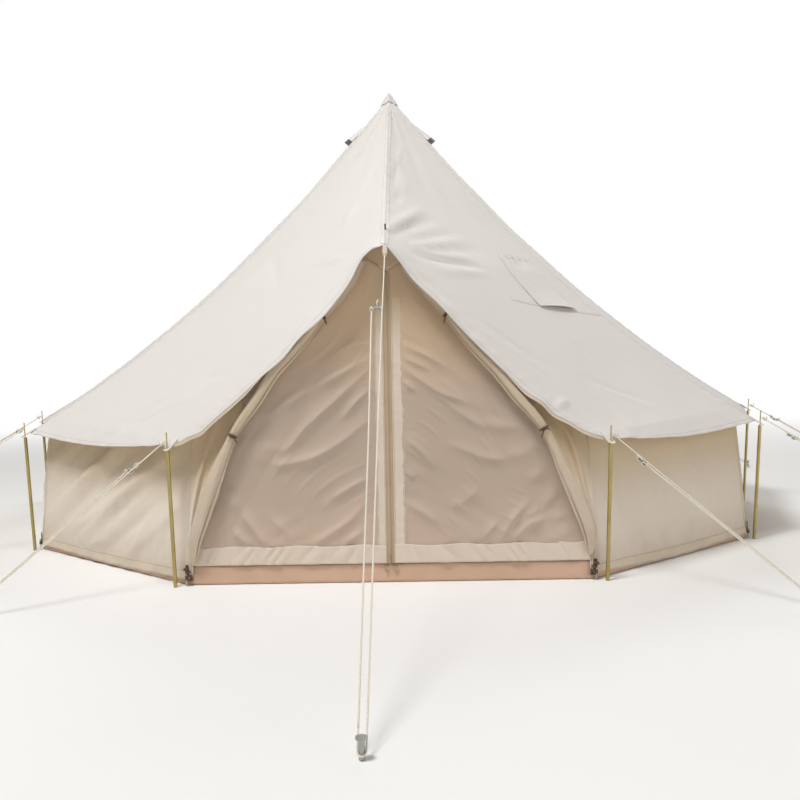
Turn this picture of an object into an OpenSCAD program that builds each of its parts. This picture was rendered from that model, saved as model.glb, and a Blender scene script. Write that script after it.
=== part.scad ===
// Bell tent: a canvas cone on a centre pole, an A-frame at the door, a ring of
// wall poles and guy ropes, and a mesh double door.
// The door faces -Y. The origin is on the ground, under the centre pole.

/* [Roof] */
// Height of the canvas at the centre pole
apex_h = 3000; // [2600:10:3400]
// Radius of the eave at the wall poles
eave_r = 2546; // [2350:1:2750]
// Height of the eave at the wall poles
eave_h = 685; // [560:1:800]
// How far the roof seams dip below a straight line at half way
roof_dip = 200; // [80:5:260]
// How far the eave droops between two wall poles
eave_droop = 38; // [0:1:60]
// How far the canvas sinks between two seams
gore_sink = 14; // [0:1:30]
// Thickness of the roof canvas
roof_t = 3; // [2:0.5:5]
// Radius of the hole in the canvas at the apex
apex_hole_r = 46; // [40:1:60]

/* [Apex cap] */
// Radius of the canvas cap's rim at the seams
cap_r = 64; // [58:1:80]
// Height of the cap's tip over its rim
cap_h = 109; // [90:1:120]
// Thickness of the cap
cap_t = 3; // [2:0.5:5]

/* [Door] */
// Distance of the door peak's edge inside the eave's radius
peak_in = 126; // [60:1:190]
// Height of the door peak's edge
peak_h = 1600; // [1450:5:1700]
// Sideways reach of the roof's curved edge, left of the door
edge_reach_left = 800; // [700:5:850]
// Sideways reach of the roof's curved edge, right of the door
edge_reach_right = 745; // [700:5:850]
// Height at which the roof's curved edge levels out
edge_level = 740; // [700:5:800]
// Half of the mesh door's width at the sill
door_half_w = 870; // [820:5:885]
// Angle between the wall's foot at the door and the first pole
foot_turn = 0.92; // [0.6:0.02:1.2]
// Height of the top of the door zip
zip_top_h = 1500; // [1300:10:1520]
// Thickness of the mesh doors
mesh_t = 1.2; // [0.8:0.1:1.4]
// Height of the door sill
sill_h = 92; // [60:1:120]
// Thickness of the door sill
sill_t = 3; // [2:0.5:5]

/* [Wall] */
// Distance of the wall's foot inside the eave's radius
wall_foot_in = 46; // [26:1:86]
// Distance of the wall's top inside the eave's radius
wall_top_in = 116; // [96:1:146]
// Height of the wall's hem above the ground
hem_h = 38; // [25:1:50]
// Thickness of the wall canvas
wall_t = 3; // [2:0.5:5]
// Depth of the folds in the left wall
fold_left = 34; // [0:1:45]
// Depth of the folds in the right wall
fold_right = 12; // [0:1:45]
// Depth of the folds in the rear wall
fold_rear = 20; // [0:1:45]
// Folds across one wall panel
folds_per_panel = 3; // [2:1:4]

/* [Groundsheet] */
// Thickness of the groundsheet
sheet_t = 3; // [2:0.5:5]
// Height of the groundsheet's rim
rim_h = 70; // [55:1:90]
// Thickness of the groundsheet's rim
rim_t = 3; // [2:0.5:5]

/* [Centre pole] */
// Outer diameter of the centre pole
mast_d = 38; // [32:1:44]
// Wall of the centre pole's tubes
mast_wall = 2; // [1.5:0.5:3]
// Height of the joint between the two sections
mast_joint_h = 1480; // [1200:10:1700]
// Length of the spigot inside the joint
spigot_l = 120; // [80:5:160]
// Height of the pole's foot
foot_h = 30; // [20:1:40]
// Height of the turned top
top_h = 50; // [40:1:60]

/* [A-frame] */
// Outer diameter of the A-frame's legs
leg_d = 22; // [18:1:26]
// Distance of the legs behind the mesh doors
leg_back = 26; // [20:1:40]
// Distance from the door's fold line to a leg
leg_off = 30; // [28:1:34]
// Diameter of the crown's spike
crown_spike_d = 8; // [6:1:10]

/* [Wall poles] */
// Diameter of a wall pole
pole_d = 18; // [14:1:22]
// Distance of the poles' feet inside the eave's radius
pole_foot_in = 6; // [-24:1:16]
// Distance from the eave to a pole's spike
spike_out = 25; // [20:1:30]
// Diameter of a spike
spike_d = 6; // [5:0.5:8]
// Height of a spike's tip
spike_top_h = 745; // [735:1:860]
// Angle between the door's centre line and the first pole
first_pole_az = 24; // [23:0.5:27]
// Poles in the ring
pole_count = 11; // [11]

/* [Guy ropes] */
// Diameter of a guy rope
rope_d = 6; // [5:0.5:7]
// Thickness of a tensioner
runner_t = 4; // [3:0.5:6]
// Width of a tensioner between its outer holes
runner_w = 44; // [38:1:52]
// Diameter of a tensioner's holes
runner_hole_d = 9; // [8:0.5:10]
// Diameter of a guy peg
peg_d = 18; // [16:1:20]
// Height of a guy peg above the ground
peg_h = 62; // [50:1:80]
// Diameter of a guy peg's head
peg_head_d = 34; // [28:1:40]

/* [Trim] */
// Width of a webbing tab at the eave
tab_w = 46; // [36:1:60]
// Thickness of a webbing tab
tab_t = 4; // [3:0.5:6]
// Diameter of a wall peg
wall_peg_d = 8; // [6:1:10]
// Height of a wall peg above the ground
wall_peg_h = 62; // [60:1:80]
// Width of the webbing at a wall peg
loop_w = 18; // [14:1:20]
// Length of a vent hood down the roof
hood_l = 190; // [150:5:230]
// Half width of a vent hood at its mouth
hood_half_w = 94; // [80:1:120]
// Height of a vent hood at its mouth
hood_h = 62; // [40:1:80]
// Thickness of the stove flap
flap_t = 3; // [2:0.5:5]
// Length of a zip slider
slider_l = 22; // [16:1:26]
// Width of a zip slider
slider_w = 11; // [8:1:12]
// Thickness of a zip slider
slider_t = 5; // [4:0.5:7]
// Length of a zip pull
pull_l = 40; // [30:1:50]

/* [Hidden] */
$fn = 48;

// Gap between cloth and what it lies against
lay_gap = 0.4;
// Gap between two sewn pieces
seam_gap = 0.3;
// Gap round a pin in its hole
pin_gap = 0.3;
// Running gap of a spigot in its tube
fit_gap = 0.05;

canvas = "#E3DED9";
wall_canvas = "#C6B8A4";
mesh_brown = "#A99580";
sheet_tan = "#C09E85";
brass_steel = "#AE9F7C";
steel = "#B8B8B4";
rope_white = "#F0EBE0";
webbing = "#4A3A2C";
moulded = "#2F2F30";

peak_out = eave_r - peak_in;
wall_foot_r = eave_r - wall_foot_in;
wall_top_r = eave_r - wall_top_in;
pole_foot_r = eave_r - pole_foot_in;
pole_step = (360 - 2 * first_pole_az) / (pole_count - 1);
roof_drop = apex_h - eave_h;
dip4 = 4 * roof_dip;
wall_row = wall_top_r / eave_r;
hole_row = apex_hole_r / eave_r;
// Row at which the roof seams are as high as the door peak
peak_row = ((roof_drop + dip4) - sqrt(pow(roof_drop + dip4, 2) - 4 * dip4 * (apex_h - peak_h)))
    / (2 * dip4);
// Door feet stand just inside the first poles
foot_az = first_pole_az - foot_turn;
foot_half_w = wall_foot_r * sin(foot_az);

function pole_az(k) = first_pole_az + k * pole_step;
function at(r, az, z) = [r * sin(az), -r * cos(az), z];
function mix(a, b, t) = a + (b - a) * t;
function unit(v) = v / norm(v);
function bez(a, b, c, t) = (1 - t) * (1 - t) * a + 2 * t * (1 - t) * b + t * t * c;
function steps(a, b, n) = [for (i = [0:n]) mix(a, b, i / n)];

// Roof surface
function seam_z(s) = apex_h - (roof_drop + dip4) * s + dip4 * s * s;
function seam(k, s) = at(s * eave_r, pole_az(k), seam_z(s));
function ridge(s) = [0, -peak_out * (apex_h - seam_z(s)) / (apex_h - peak_h), seam_z(s)];
function door_edge(t, reach) = let (c = seam(0, 1))
    [bez(0, reach, c.x, t), bez(-peak_out, -(peak_out - c.y) / 2, c.y, t),
     bez(peak_h, edge_level, c.z, t)];
function front_edge(s, reach) =
    s <= peak_row ? ridge(s) : door_edge((s - peak_row) / (1 - peak_row), reach);
function droop(s, v) = [0, 0, s > wall_row
    ? -eave_droop * sin(180 * v) * (s - wall_row) / (1 - wall_row) : 0];
function sink(s, v) = [0, 0, -gore_sink * sin(180 * v) * sin(180 * min(1, s / wall_row))];
function front_pt(s, v, reach) = mix(front_edge(s, reach), seam(1, s), v) + droop(s, v) + sink(s, v);
function gore_pt(k, s, v) = mix(seam(k, s), seam(k + 1, s), v) + droop(s, v) + sink(s, v);

// Rows of the stove flap's upper and lower edge
flap_top_row = peak_row - 0.043;
flap_low_row = peak_row + 0.094;
// Row of the roof where the vent hoods end
vent_row = hole_row + 0.1;
roof_rows = concat(
    [hole_row], steps(vent_row, flap_top_row, 3),
    [peak_row],
    steps(flap_low_row, wall_row, 4),
    [for (s = steps(wall_row, 1, 2)) if (s > wall_row) s]);
gore_cols = 5;
front_cols = 8;

// Closed shell between two grids of points; rows run down and columns to the right, seen from outside
module shell(outer, inner) {
    rows = len(outer);
    cols = len(outer[0]);
    half = rows * cols;
    function o(i, j) = i * cols + j;
    function n(i, j) = half + i * cols + j;
    function quad(a, b, c, d) = [[a, b, c], [a, c, d]];
    polyhedron(
        points = concat([for (row = outer) each row], [for (row = inner) each row]),
        faces = concat(
            [for (i = [0:rows - 2], j = [0:cols - 2])
                each quad(o(i, j), o(i, j + 1), o(i + 1, j + 1), o(i + 1, j))],
            [for (i = [0:rows - 2], j = [0:cols - 2])
                each quad(n(i, j), n(i + 1, j), n(i + 1, j + 1), n(i, j + 1))],
            [for (j = [0:cols - 2]) each quad(o(0, j + 1), o(0, j), n(0, j), n(0, j + 1))],
            [for (j = [0:cols - 2])
                each quad(o(rows - 1, j), o(rows - 1, j + 1), n(rows - 1, j + 1), n(rows - 1, j))],
            [for (i = [0:rows - 2]) each quad(o(i, 0), o(i + 1, 0), n(i + 1, 0), n(i, 0))],
            [for (i = [0:rows - 2])
                each quad(o(i + 1, cols - 1), o(i, cols - 1), n(i, cols - 1), n(i + 1, cols - 1))]));
}

// Grid moved by one vector
function moved(grid, v) = [for (row = grid) [for (p = row) p + v]];

// Swept tube: one ring of points at each stop along a path
module tube(rings) {
    stops = len(rings);
    sides = len(rings[0]);
    function r(i, j) = i * sides + j % sides;
    polyhedron(
        points = [for (ring = rings) each ring],
        faces = concat(
            [[for (j = [0:sides - 1]) sides - 1 - j]],
            [for (i = [0:stops - 2], j = [0:sides - 1])
                each [[r(i, j), r(i, j + 1), r(i + 1, j + 1)], [r(i, j), r(i + 1, j + 1), r(i + 1, j)]]],
            [[for (j = [0:sides - 1]) (stops - 1) * sides + j]]));
}

// Places children so that their Z axis runs from a to b
module along(a, b) {
    d = b - a;
    translate(a)
        rotate([0, acos(d.z / norm(d)), atan2(d.y, d.x)])
            children();
}

// Straight tube or rod from a to b
module rod(a, b, d) {
    along(a, b)
        cylinder(d = d, h = norm(b - a));
}

// Roof
front_v0 = seam_gap / (2 * eave_r * sin(first_pole_az));
function front_v(j) = mix(front_v0, 1 - front_v0, j / front_cols);
module front_panel(reach) {
    outer = [for (s = roof_rows) [for (j = [0:front_cols]) front_pt(s, front_v(j), reach)]];
    difference() {
        shell(outer, moved(outer, [0, 0, -roof_t]));
        translate(crown_tip - [0, 0, 2 * crown_reach])
            cylinder(d = crown_spike_d + 2 * pin_gap + 1, h = 4 * crown_reach, $fn = 8);
    }
}

module gores(first, last) {
    v0 = seam_gap / (2 * eave_r * sin(pole_step));
    stops = [for (k = [first:last - 1], i = [0:gore_cols]) if (i > 0 || k == first)
        [k, k == first && i == 0 ? v0 : k == last - 1 && i == gore_cols ? 1 - v0 : i / gore_cols]];
    outer = [for (s = roof_rows) [for (c = stops) gore_pt(c[0], s, c[1])]];
    shell(outer, moved(outer, [0, 0, -roof_t]));
}

module roof_front_left() { color(canvas) mirror([1, 0, 0]) front_panel(edge_reach_left); }
module roof_front_right() { color(canvas) front_panel(edge_reach_right); }
module roof_left() { color(canvas) mirror([1, 0, 0]) gores(1, 3); }
module roof_right() { color(canvas) gores(1, 3); }
module roof_rear() { color(canvas) gores(3, pole_count - 4); }

// Apex cap: a pointed hood of canvas that fits over the roof's seams and ridge
cap_row = cap_r / eave_r;
cap_seat = 1.2;
cap_rim_z = seam_z(cap_row) + cap_seat;
// Thickness of the steep canvas, measured upright
cap_upright = cap_t * 1.6;
cap_tip_in = cap_rim_z + cap_h - cap_upright;
module apex_cap() {
    ring = concat([ridge(cap_row)], [for (k = [1:pole_count - 2]) seam(k, cap_row)]);
    n = len(ring);
    points = concat(moved([ring], [0, 0, cap_seat])[0], moved([ring], [0, 0, cap_seat + cap_upright])[0],
        [[0, 0, cap_tip_in], [0, 0, cap_tip_in + cap_upright]]);
    color(canvas)
        polyhedron(points, concat(
            [for (i = [0:n - 1]) [i, (i + 1) % n, 2 * n]],
            [for (i = [0:n - 1]) [n + (i + 1) % n, n + i, 2 * n + 1]],
            [for (i = [0:n - 1]) [(i + 1) % n, i, n + i, n + (i + 1) % n]]));
}

// Vent hood: an arched cowl that opens down the roof
hood_gores = [2, pole_count - 4];
// The mouth ends at this row, over the seams on both sides
hood_row = vent_row;
// Share of the sink by which the hood's edges clear the middle of the gore
hood_share = 0.56;
hood_seat = hood_share * gore_sink * sin(180 * hood_row / wall_row) + lay_gap;
module hood(k) {
    mouth = gore_pt(k, hood_row, 0.5);
    down = unit(mouth - gore_pt(k, hole_row, 0.5));
    side = unit(gore_pt(k, hood_row, 1) - gore_pt(k, hood_row, 0));
    up = cross(side, down) * -1;
    o = mouth - down * (hood_l + 2 * roof_t);
    function arch(u, a, inset) = o + down * (hood_l * u) + up * hood_seat
        - side * ((mix(hood_half_w * 0.35, hood_half_w, u) - inset) * cos(a))
        + up * ((mix(hood_h * 0.12, hood_h, pow(u, 0.7)) - inset) * sin(a));
    outer = [for (u = steps(0, 1, 4)) [for (a = steps(0, 180, 10)) arch(u, a, 0)]];
    inner = [for (u = steps(0, 1, 4)) [for (a = steps(0, 180, 10)) arch(u, a, roof_t)]];
    shell(outer, inner);
}
module vent_hoods() {
    color(canvas)
        for (k = hood_gores) hood(k);
}

// Stove flap: a storm flap that lies on the right front panel, hinged along its upper edge
flap_rows = [flap_top_row, peak_row, flap_low_row];
flap_cols = [5, 6, 7];
flap_lift = 16;
module stove_flap() {
    function pt(i, j) = front_pt(flap_rows[i], front_v(flap_cols[j]), edge_reach_right)
        + [0, 0, lay_gap + flap_t + flap_lift * i * i / 4 * sin(90 * j)];
    outer = [for (i = [0:2]) [for (j = [0:2]) pt(i, j)]];
    color(canvas)
        shell(outer, moved(outer, [0, 0, -flap_t]));
}

// Wall
wall_top_z = seam_z(wall_row) - roof_t - lay_gap;
// Extra height of the wall where the roof lifts towards the door
door_rise = 22;
function wall_az(k) = k == 0 ? foot_az : k == pole_count - 1 ? 360 - foot_az : pole_az(k);
function wall_r(z) = mix(wall_foot_r, wall_top_r, max(0, (z - hem_h) / (wall_top_z - hem_h)));
// Outward bulge of a fold: none at the top, little at the hem
function fold(x, h, deep, slant) =
    deep * pow(sin(180 * h), 0.8) * pow(0.5 + 0.5 * sin(360 * folds_per_panel * (x + slant * h)), 2);
wall_cols = 12;
wall_row_count = 7;
module wall(first, last, deep, slant) {
    v0 = seam_gap / (2 * wall_foot_r * sin(pole_step));
    stops = [for (k = [first:last - 1], i = [0:wall_cols]) if (i > 0 || k == first)
        [k, k == first && i == 0 ? v0 : k == last - 1 && i == wall_cols ? 1 - v0 : i / wall_cols]];
    function top(c) = wall_top_z + (c[0] == 0 ? door_rise * pow(1 - c[1], 3) : 0);
    function pt(c, h, back) = let (z = mix(hem_h, top(c), h),
            r = wall_r(mix(hem_h, wall_top_z, h)) - back,
            a = at(r, wall_az(c[0]), z), b = at(r, wall_az(c[0] + 1), z),
            out = unit([a.x + b.x, a.y + b.y, 0]),
            ends = pow(sin(180 * c[1]), 0.5))
        mix(a, b, c[1]) + out * ends * fold(c[1], h, deep, slant);
    outer = [for (h = steps(1, 0, wall_row_count)) [for (c = stops) pt(c, h, 0)]];
    inner = [for (h = steps(1, 0, wall_row_count)) [for (c = stops) pt(c, h, wall_t)]];
    shell(outer, inner);
}
module wall_left() { color(wall_canvas) mirror([1, 0, 0]) wall(0, 3, fold_left, 0.75); }
module wall_right() { color(wall_canvas) wall(0, 3, fold_right, 0.2); }
module wall_rear() { color(wall_canvas) wall(3, pole_count - 4, fold_rear, 0.15); }

// Groundsheet, with its rim inside the wall and its sill under the door
rim_r = wall_r(rim_h) - wall_t - lay_gap;
function sheet_ring(r) = [for (k = [0:pole_count - 1]) let (p = at(r, wall_az(k), 0)) [p.x, p.y]];
sill_y = -rim_r * cos(foot_az);
// Distance of the mesh doors from the centre pole: they stand on the sill
door_out = -sill_y - sill_t / 2;
module groundsheet() {
    color(sheet_tan)
        linear_extrude(sheet_t)
            polygon(sheet_ring(rim_r));
}
module groundsheet_rim() {
    inner = sheet_ring(rim_r - rim_t);
    color(sheet_tan)
        translate([0, 0, sheet_t])
            linear_extrude(rim_h - sheet_t)
                polygon(concat(sheet_ring(rim_r), [for (i = [len(inner) - 1:-1:0]) inner[i]]));
}
sill_half_w = rim_r * sin(foot_az) - rim_t - lay_gap;
module door_sill() {
    color(sheet_tan)
        translate([-sill_half_w, sill_y, sheet_t])
            cube([2 * sill_half_w, sill_t, sill_h - sheet_t]);
}

// Mesh doors: a half folds inward about the line from its foot to the top of the zip
screen_z = sill_h + lay_gap;
zip_half_gap = 4;
fold_foot = [door_half_w, screen_z];
fold_top = [zip_half_gap, zip_top_h];
fold_dir = unit(fold_top - fold_foot);
// Direction away from the door's centre, square to the fold line
fold_out = [fold_dir.y, -fold_dir.x];
hinge_gap = mesh_t / 2 + seam_gap;
module upright(t) {
    translate([0, -door_out + t / 2, 0])
        rotate([90, 0, 0])
            linear_extrude(t)
                children();
}
module screen() {
    upright(mesh_t)
        polygon([[zip_half_gap, screen_z], fold_foot, fold_top]);
}
module screen_left() { color(mesh_brown) mirror([1, 0, 0]) screen(); }
module screen_right() { color(mesh_brown) screen(); }

// Fixed mesh between the fold line and the roof's edge
flank_drop = 10;
flank_in = 12;
// Share of the way inward by which the roof rises from its edge to the mesh
flank_rise = 0.42;
flank_reach = min(edge_reach_left, edge_reach_right);
function flank_top(t) = let (p = door_edge(t, flank_reach))
    [max(p.x, seam_gap), p.z - flank_rise * (p.y + door_out) - flank_drop];
module flank() {
    upright(mesh_t)
        polygon(concat([fold_foot + fold_out * hinge_gap, [foot_half_w - flank_in, screen_z]],
            [for (t = [0.8, 0.6, 0.4, 0.2, 0.05, 0]) flank_top(t)],
            [[seam_gap, zip_top_h + zip_half_gap], fold_top + fold_out * hinge_gap]));
}
module door_flanks() {
    color(mesh_brown) {
        flank();
        mirror([1, 0, 0]) flank();
    }
}

// Zip sliders: a body over the zip and a pull tab
slider_front = -door_out - mesh_t / 2 - lay_gap;
// Thickness of a pull tab
tag_t = 2;
// The slider stays on the left half of the zip
slider_x = zip_half_gap - slider_w / 2 - lay_gap;
module slider() {
    translate([-slider_w / 2, -slider_t, 0])
        cube([slider_w, slider_t, slider_l]);
    translate([-slider_w / 4, -slider_t - tag_t, -pull_l + slider_l * 0.6])
        cube([slider_w / 2, tag_t, pull_l]);
}
slider_rest_h = sill_h + pull_l * 0.6;
module door_zip_slider() {
    color(steel)
        translate([slider_x, slider_front, slider_rest_h])
            slider();
}
module sill_slider() {
    translate([slider_w, sill_y - lay_gap - slider_t, sill_h - slider_l]) {
        cube([slider_l, slider_t, slider_w]);
        translate([slider_l * 0.4, 0, -pull_l / 2])
            cube([slider_w / 2, slider_t / 2, pull_l / 2]);
    }
}
module sill_slider_right() { color(steel) sill_slider(); }
module sill_slider_left() { color(steel) mirror([1, 0, 0]) sill_slider(); }

// Rolled canvas doors: the bundle hugs the roof's edge, leaves it above the lower tie and drapes to the sill
roll_y = -door_out - 46;
// Stops along the roof's edge: way along the edge, half width and half depth
roll_edge = [[0.05, 16, 15], [0.1, 20, 19], [0.15, 21, 20], [0.195, 19, 19], [0.212, 19, 19],
    [0.26, 27, 26], [0.33, 30, 30], [0.4, 31, 30]];
// Room between the bundle and the canvas above, and the share by which that canvas rises inward
roll_gap = 3;
roll_rise = 0.6;
// Stops below the edge on each side: way in from the door's foot and height, half width and half depth
roll_low_left = [[[356, 886], 31, 29], [[290, 796], 27, 26], [[250, 736], 22, 22], [[238, 712], 22, 22],
    [[212, 655], 34, 28], [[189, 605], 40, 30], [[160, 530], 48, 31], [[134, 455], 50, 31], [[104, 370], 44, 30],
    [[80, 290], 38, 28], [[60, 220], 33, 26], [[42, 150], 26, 22]];
roll_low_right = [[[374, 894], 31, 29], [[298, 806], 27, 26], [[253, 748], 22, 22], [[240, 724], 22, 22],
    [[206, 665], 34, 28], [[174, 612], 40, 30], [[140, 548], 52, 31], [[112, 490], 56, 31], [[78, 410], 52, 30],
    [[50, 330], 46, 28], [[28, 250], 32, 26], [[24, 170], 24, 22]];
roll_end_depth = 22;
function roll_edge_stop(e, reach) = let (p = door_edge(e[0], reach),
        d = unit(door_edge(e[0] + 0.01, reach) - door_edge(e[0] - 0.01, reach)),
        wide = max(e[1], e[2]) + 3,
        rise = roll_rise * d.x,
        off = wide * norm([1, rise]) - rise * (roll_y - p.y) + roof_t + roll_gap)
    [[p.x + d.z * off, roll_y, p.z - d.x * off], e[1], e[2]];
function roll_low_stop(low, i) = let (e = low[i])
    [[foot_half_w - e[0].x, i == len(low) - 1 ? slider_front - roll_end_depth : roll_y, e[0].y], e[1], e[2]];
function roll_stops(reach, low) = concat([for (e = roll_edge) roll_edge_stop(e, reach)],
    [for (i = [0:len(low) - 1]) roll_low_stop(low, i)]);
stops_left = roll_stops(edge_reach_left, roll_low_left);
stops_right = roll_stops(edge_reach_right, roll_low_right);
roll_lobes = 7;
roll_sides = 28;
roll_fold = 0.13;
roll_turn = 9;
// Stops at the start of each neck that a tie holds
tie_stops = [3, 10];
roll_last = len(stops_left) - 1;
function roll_axis(stops, i) = unit(stops[min(i + 1, roll_last)][0] - stops[max(i - 1, 0)][0]);
// Share of the full radius at one angle: the canvas is rolled in soft lobes, full against the mesh at its end
function roll_share(i, a) =
    1 - roll_fold * (0.5 - 0.5 * cos(roll_lobes * (a - 90) + roll_turn * (roll_last - i)));
module rolled_door(stops) {
    rings = [for (i = [0:roll_last]) let (s = stops[i], wide = unit(cross(roll_axis(stops, i), [0, 1, 0])))
        [for (j = [0:roll_sides - 1]) let (a = 360 * j / roll_sides, f = roll_share(i, a))
            s[0] + wide * (s[1] * f * cos(a)) + [0, s[2] * f * sin(a), 0]]];
    tube(rings);
}
module rolled_door_left() { color(wall_canvas) mirror([1, 0, 0]) rolled_door(stops_left); }
module rolled_door_right() { color(wall_canvas) rolled_door(stops_right); }

// Webbing ties round the rolled doors
tie_w = 16;
tie_t = 2;
module tie(stops, i) {
    s = stops[i];
    mid = (s[0] + stops[i + 1][0]) / 2;
    axis = unit(stops[i + 1][0] - s[0]);
    inner = max(s[1], s[2]) + lay_gap;
    along(mid - axis * tie_w / 2, mid + axis * tie_w / 2)
        difference() {
            cylinder(r = inner + tie_t, h = tie_w);
            translate([0, 0, -1])
                cylinder(r = inner, h = tie_w + 2);
        }
}
module door_ties() {
    color(webbing)
        for (i = tie_stops) {
            tie(stops_right, i);
            mirror([1, 0, 0]) tie(stops_left, i);
        }
}

// Centre pole
mast_r = mast_d / 2;
mast_foot_z = sheet_t;
mast_top_z = ridge(hole_row).z - roof_t - 30;
module centre_pole_foot() {
    color(moulded)
        translate([0, 0, mast_foot_z])
            difference() {
                cylinder(r = mast_r + 6, h = foot_h);
                translate([0, 0, foot_h / 3])
                    cylinder(r = mast_r + fit_gap, h = foot_h);
            }
}
module centre_pole_lower() {
    z0 = mast_foot_z + foot_h / 3;
    color(steel)
        difference() {
            union() {
                translate([0, 0, z0])
                    cylinder(r = mast_r, h = mast_joint_h - z0);
                translate([0, 0, mast_joint_h])
                    cylinder(r = mast_r - mast_wall - fit_gap, h = spigot_l);
            }
            translate([0, 0, z0 - 1])
                cylinder(r = mast_r - 2 * mast_wall, h = mast_joint_h + spigot_l);
        }
}
module centre_pole_upper() {
    color(steel)
        translate([0, 0, mast_joint_h])
            difference() {
                cylinder(r = mast_r, h = mast_top_z - mast_joint_h);
                translate([0, 0, -1])
                    cylinder(r = mast_r - mast_wall, h = mast_top_z - mast_joint_h + 2);
            }
}
// Turned top: a plug in the tube, a shoulder under the canvas and a pin up into the cap
module centre_pole_top() {
    shoulder = apex_hole_r + 12;
    tip = cap_tip_in - lay_gap;
    // Row at the middle of a gore, where the canvas lies lowest over the shoulder
    row = shoulder / (eave_r * cos(pole_step / 2));
    canvas_z = seam_z(row) - gore_sink * sin(180 * row / wall_row) - roof_t - lay_gap;
    color(moulded)
        rotate_extrude()
            polygon([[0, mast_top_z - top_h], [mast_r - mast_wall - fit_gap, mast_top_z - top_h],
                [mast_r - mast_wall - fit_gap, mast_top_z], [mast_r + 4, mast_top_z],
                [shoulder, canvas_z - 6], [shoulder, canvas_z], [18, canvas_z + 14],
                [9, canvas_z + 24], [9, tip - 20], [0, tip]]);
}

// A-frame
leg_line = fold_foot + fold_out * leg_off;
leg_y = -door_out + leg_back;
crown = [0, leg_y, leg_line.y - leg_line.x * fold_dir.y / fold_dir.x];
crown_r = leg_d / 2 + 5;
crown_reach = 60;
crown_tip = [0, crown.y, apex_h + crown.y * (apex_h - peak_h) / peak_out + 26];
ankle_z = sheet_t + leg_d;
leg_foot = [leg_line.x + (ankle_z - leg_line.y) * fold_dir.x / fold_dir.y, leg_y, ankle_z];
leg_dir = unit(crown - leg_foot);
leg_start = crown_r + 14;
module leg() {
    rod(leg_foot, crown - leg_dir * leg_start, leg_d);
    translate([leg_foot.x, leg_foot.y, sheet_t])
        cylinder(d = leg_d, h = leg_foot.z - sheet_t);
    translate(leg_foot)
        sphere(d = leg_d);
}
module a_frame_left_leg() { color(steel) mirror([1, 0, 0]) leg(); }
module a_frame_right_leg() { color(steel) leg(); }
module a_frame_crown() {
    color(moulded)
        difference() {
            union() {
                translate(crown)
                    sphere(r = crown_r);
                for (m = [-1, 1])
                    let (d = [m * leg_dir.x, leg_dir.y, leg_dir.z])
                        rod(crown, crown - d * (leg_start + crown_reach), 2 * crown_r);
                rod(crown, crown_tip, crown_spike_d);
            }
            for (m = [-1, 1])
                let (d = [m * leg_dir.x, leg_dir.y, leg_dir.z])
                    rod(crown - d * leg_start, crown - d * (leg_start + 2 * crown_reach),
                        leg_d + 2 * fit_gap);
        }
}

// Wall poles, their eave tabs and the pegs at the wall's foot
eave_tilt = atan((roof_drop - dip4) / eave_r);
spike_r = eave_r + spike_out;
tab_z = eave_h - spike_out * tan(eave_tilt);
pole_top_z = tab_z - tab_t - pole_d / 2 * tan(eave_tilt) - 2;
function pole_pt(k, z) = at(mix(pole_foot_r, spike_r, z / tab_z), pole_az(k), z);
// Height of a leaning pole's foot, so that its edge is on the ground
pole_foot_z = pole_d / 2 * sin(atan((spike_r - pole_foot_r) / tab_z));
module wall_poles() {
    color(brass_steel)
        for (k = [0:pole_count - 1]) {
            rod(pole_pt(k, pole_foot_z), pole_pt(k, pole_top_z), pole_d);
            rod(pole_pt(k, pole_top_z - 1), pole_pt(k, spike_top_h), spike_d);
        }
}
tab_back = 40;
tab_front = 30;
module eave_tab(k) {
    difference() {
        rotate([0, 0, pole_az(k) - 90])
            translate([eave_r + seam_gap + tab_t * sin(eave_tilt), 0, eave_h])
                rotate([0, eave_tilt, 0])
                    translate([0, -tab_w / 2, -tab_t])
                        cube([spike_out + tab_front, tab_w, tab_t]);
        rod(pole_pt(k, tab_z - 60), pole_pt(k, tab_z + 60), spike_d + 2 * pin_gap);
    }
}
module peak_tab() {
    translate([-tab_w / 4, -peak_out - seam_gap - tab_t, peak_h - tab_back - tab_t])
        cube([tab_w / 2, tab_t, tab_back + tab_t - roof_t]);
}
module guy_tabs() {
    color(webbing) {
        for (k = [0:pole_count - 1]) eave_tab(k);
        peak_tab();
    }
}
// Pegs stand outside the wall's corners, in webbing loops sewn to the hem
loop_r = wall_peg_d / 2 + pin_gap;
loop_t = 2.5;
loop_z = hem_h - loop_w / 3;
function wall_peg_pt(k) = at(wall_foot_r + lay_gap + loop_r + loop_t, wall_az(k), 0);
module wall_pegs() {
    head_h = 4;
    color(steel)
        for (k = [0:pole_count - 1])
            translate(wall_peg_pt(k)) {
                cylinder(d = wall_peg_d, h = wall_peg_h);
                translate([0, 0, wall_peg_h - head_h])
                    cylinder(d = wall_peg_d * 1.7, h = head_h);
            }
}
module peg_loops() {
    color(webbing)
        for (k = [0:pole_count - 1])
            translate(wall_peg_pt(k) + [0, 0, loop_z])
                difference() {
                    cylinder(r = loop_r + loop_t, h = loop_w);
                    translate([0, 0, -1])
                        cylinder(r = loop_r, h = loop_w + 2);
                }
}

// Guy ropes: each leaves a spike, runs past its tensioner to a peg, and returns to the tensioner.
// Points are [along the rope, sideways]; the peg stands where the loop turns.
rope_r = rope_d / 2;
peg_turn = peg_d / 2 + rope_r + pin_gap;
guy_start_h = 706;
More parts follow.
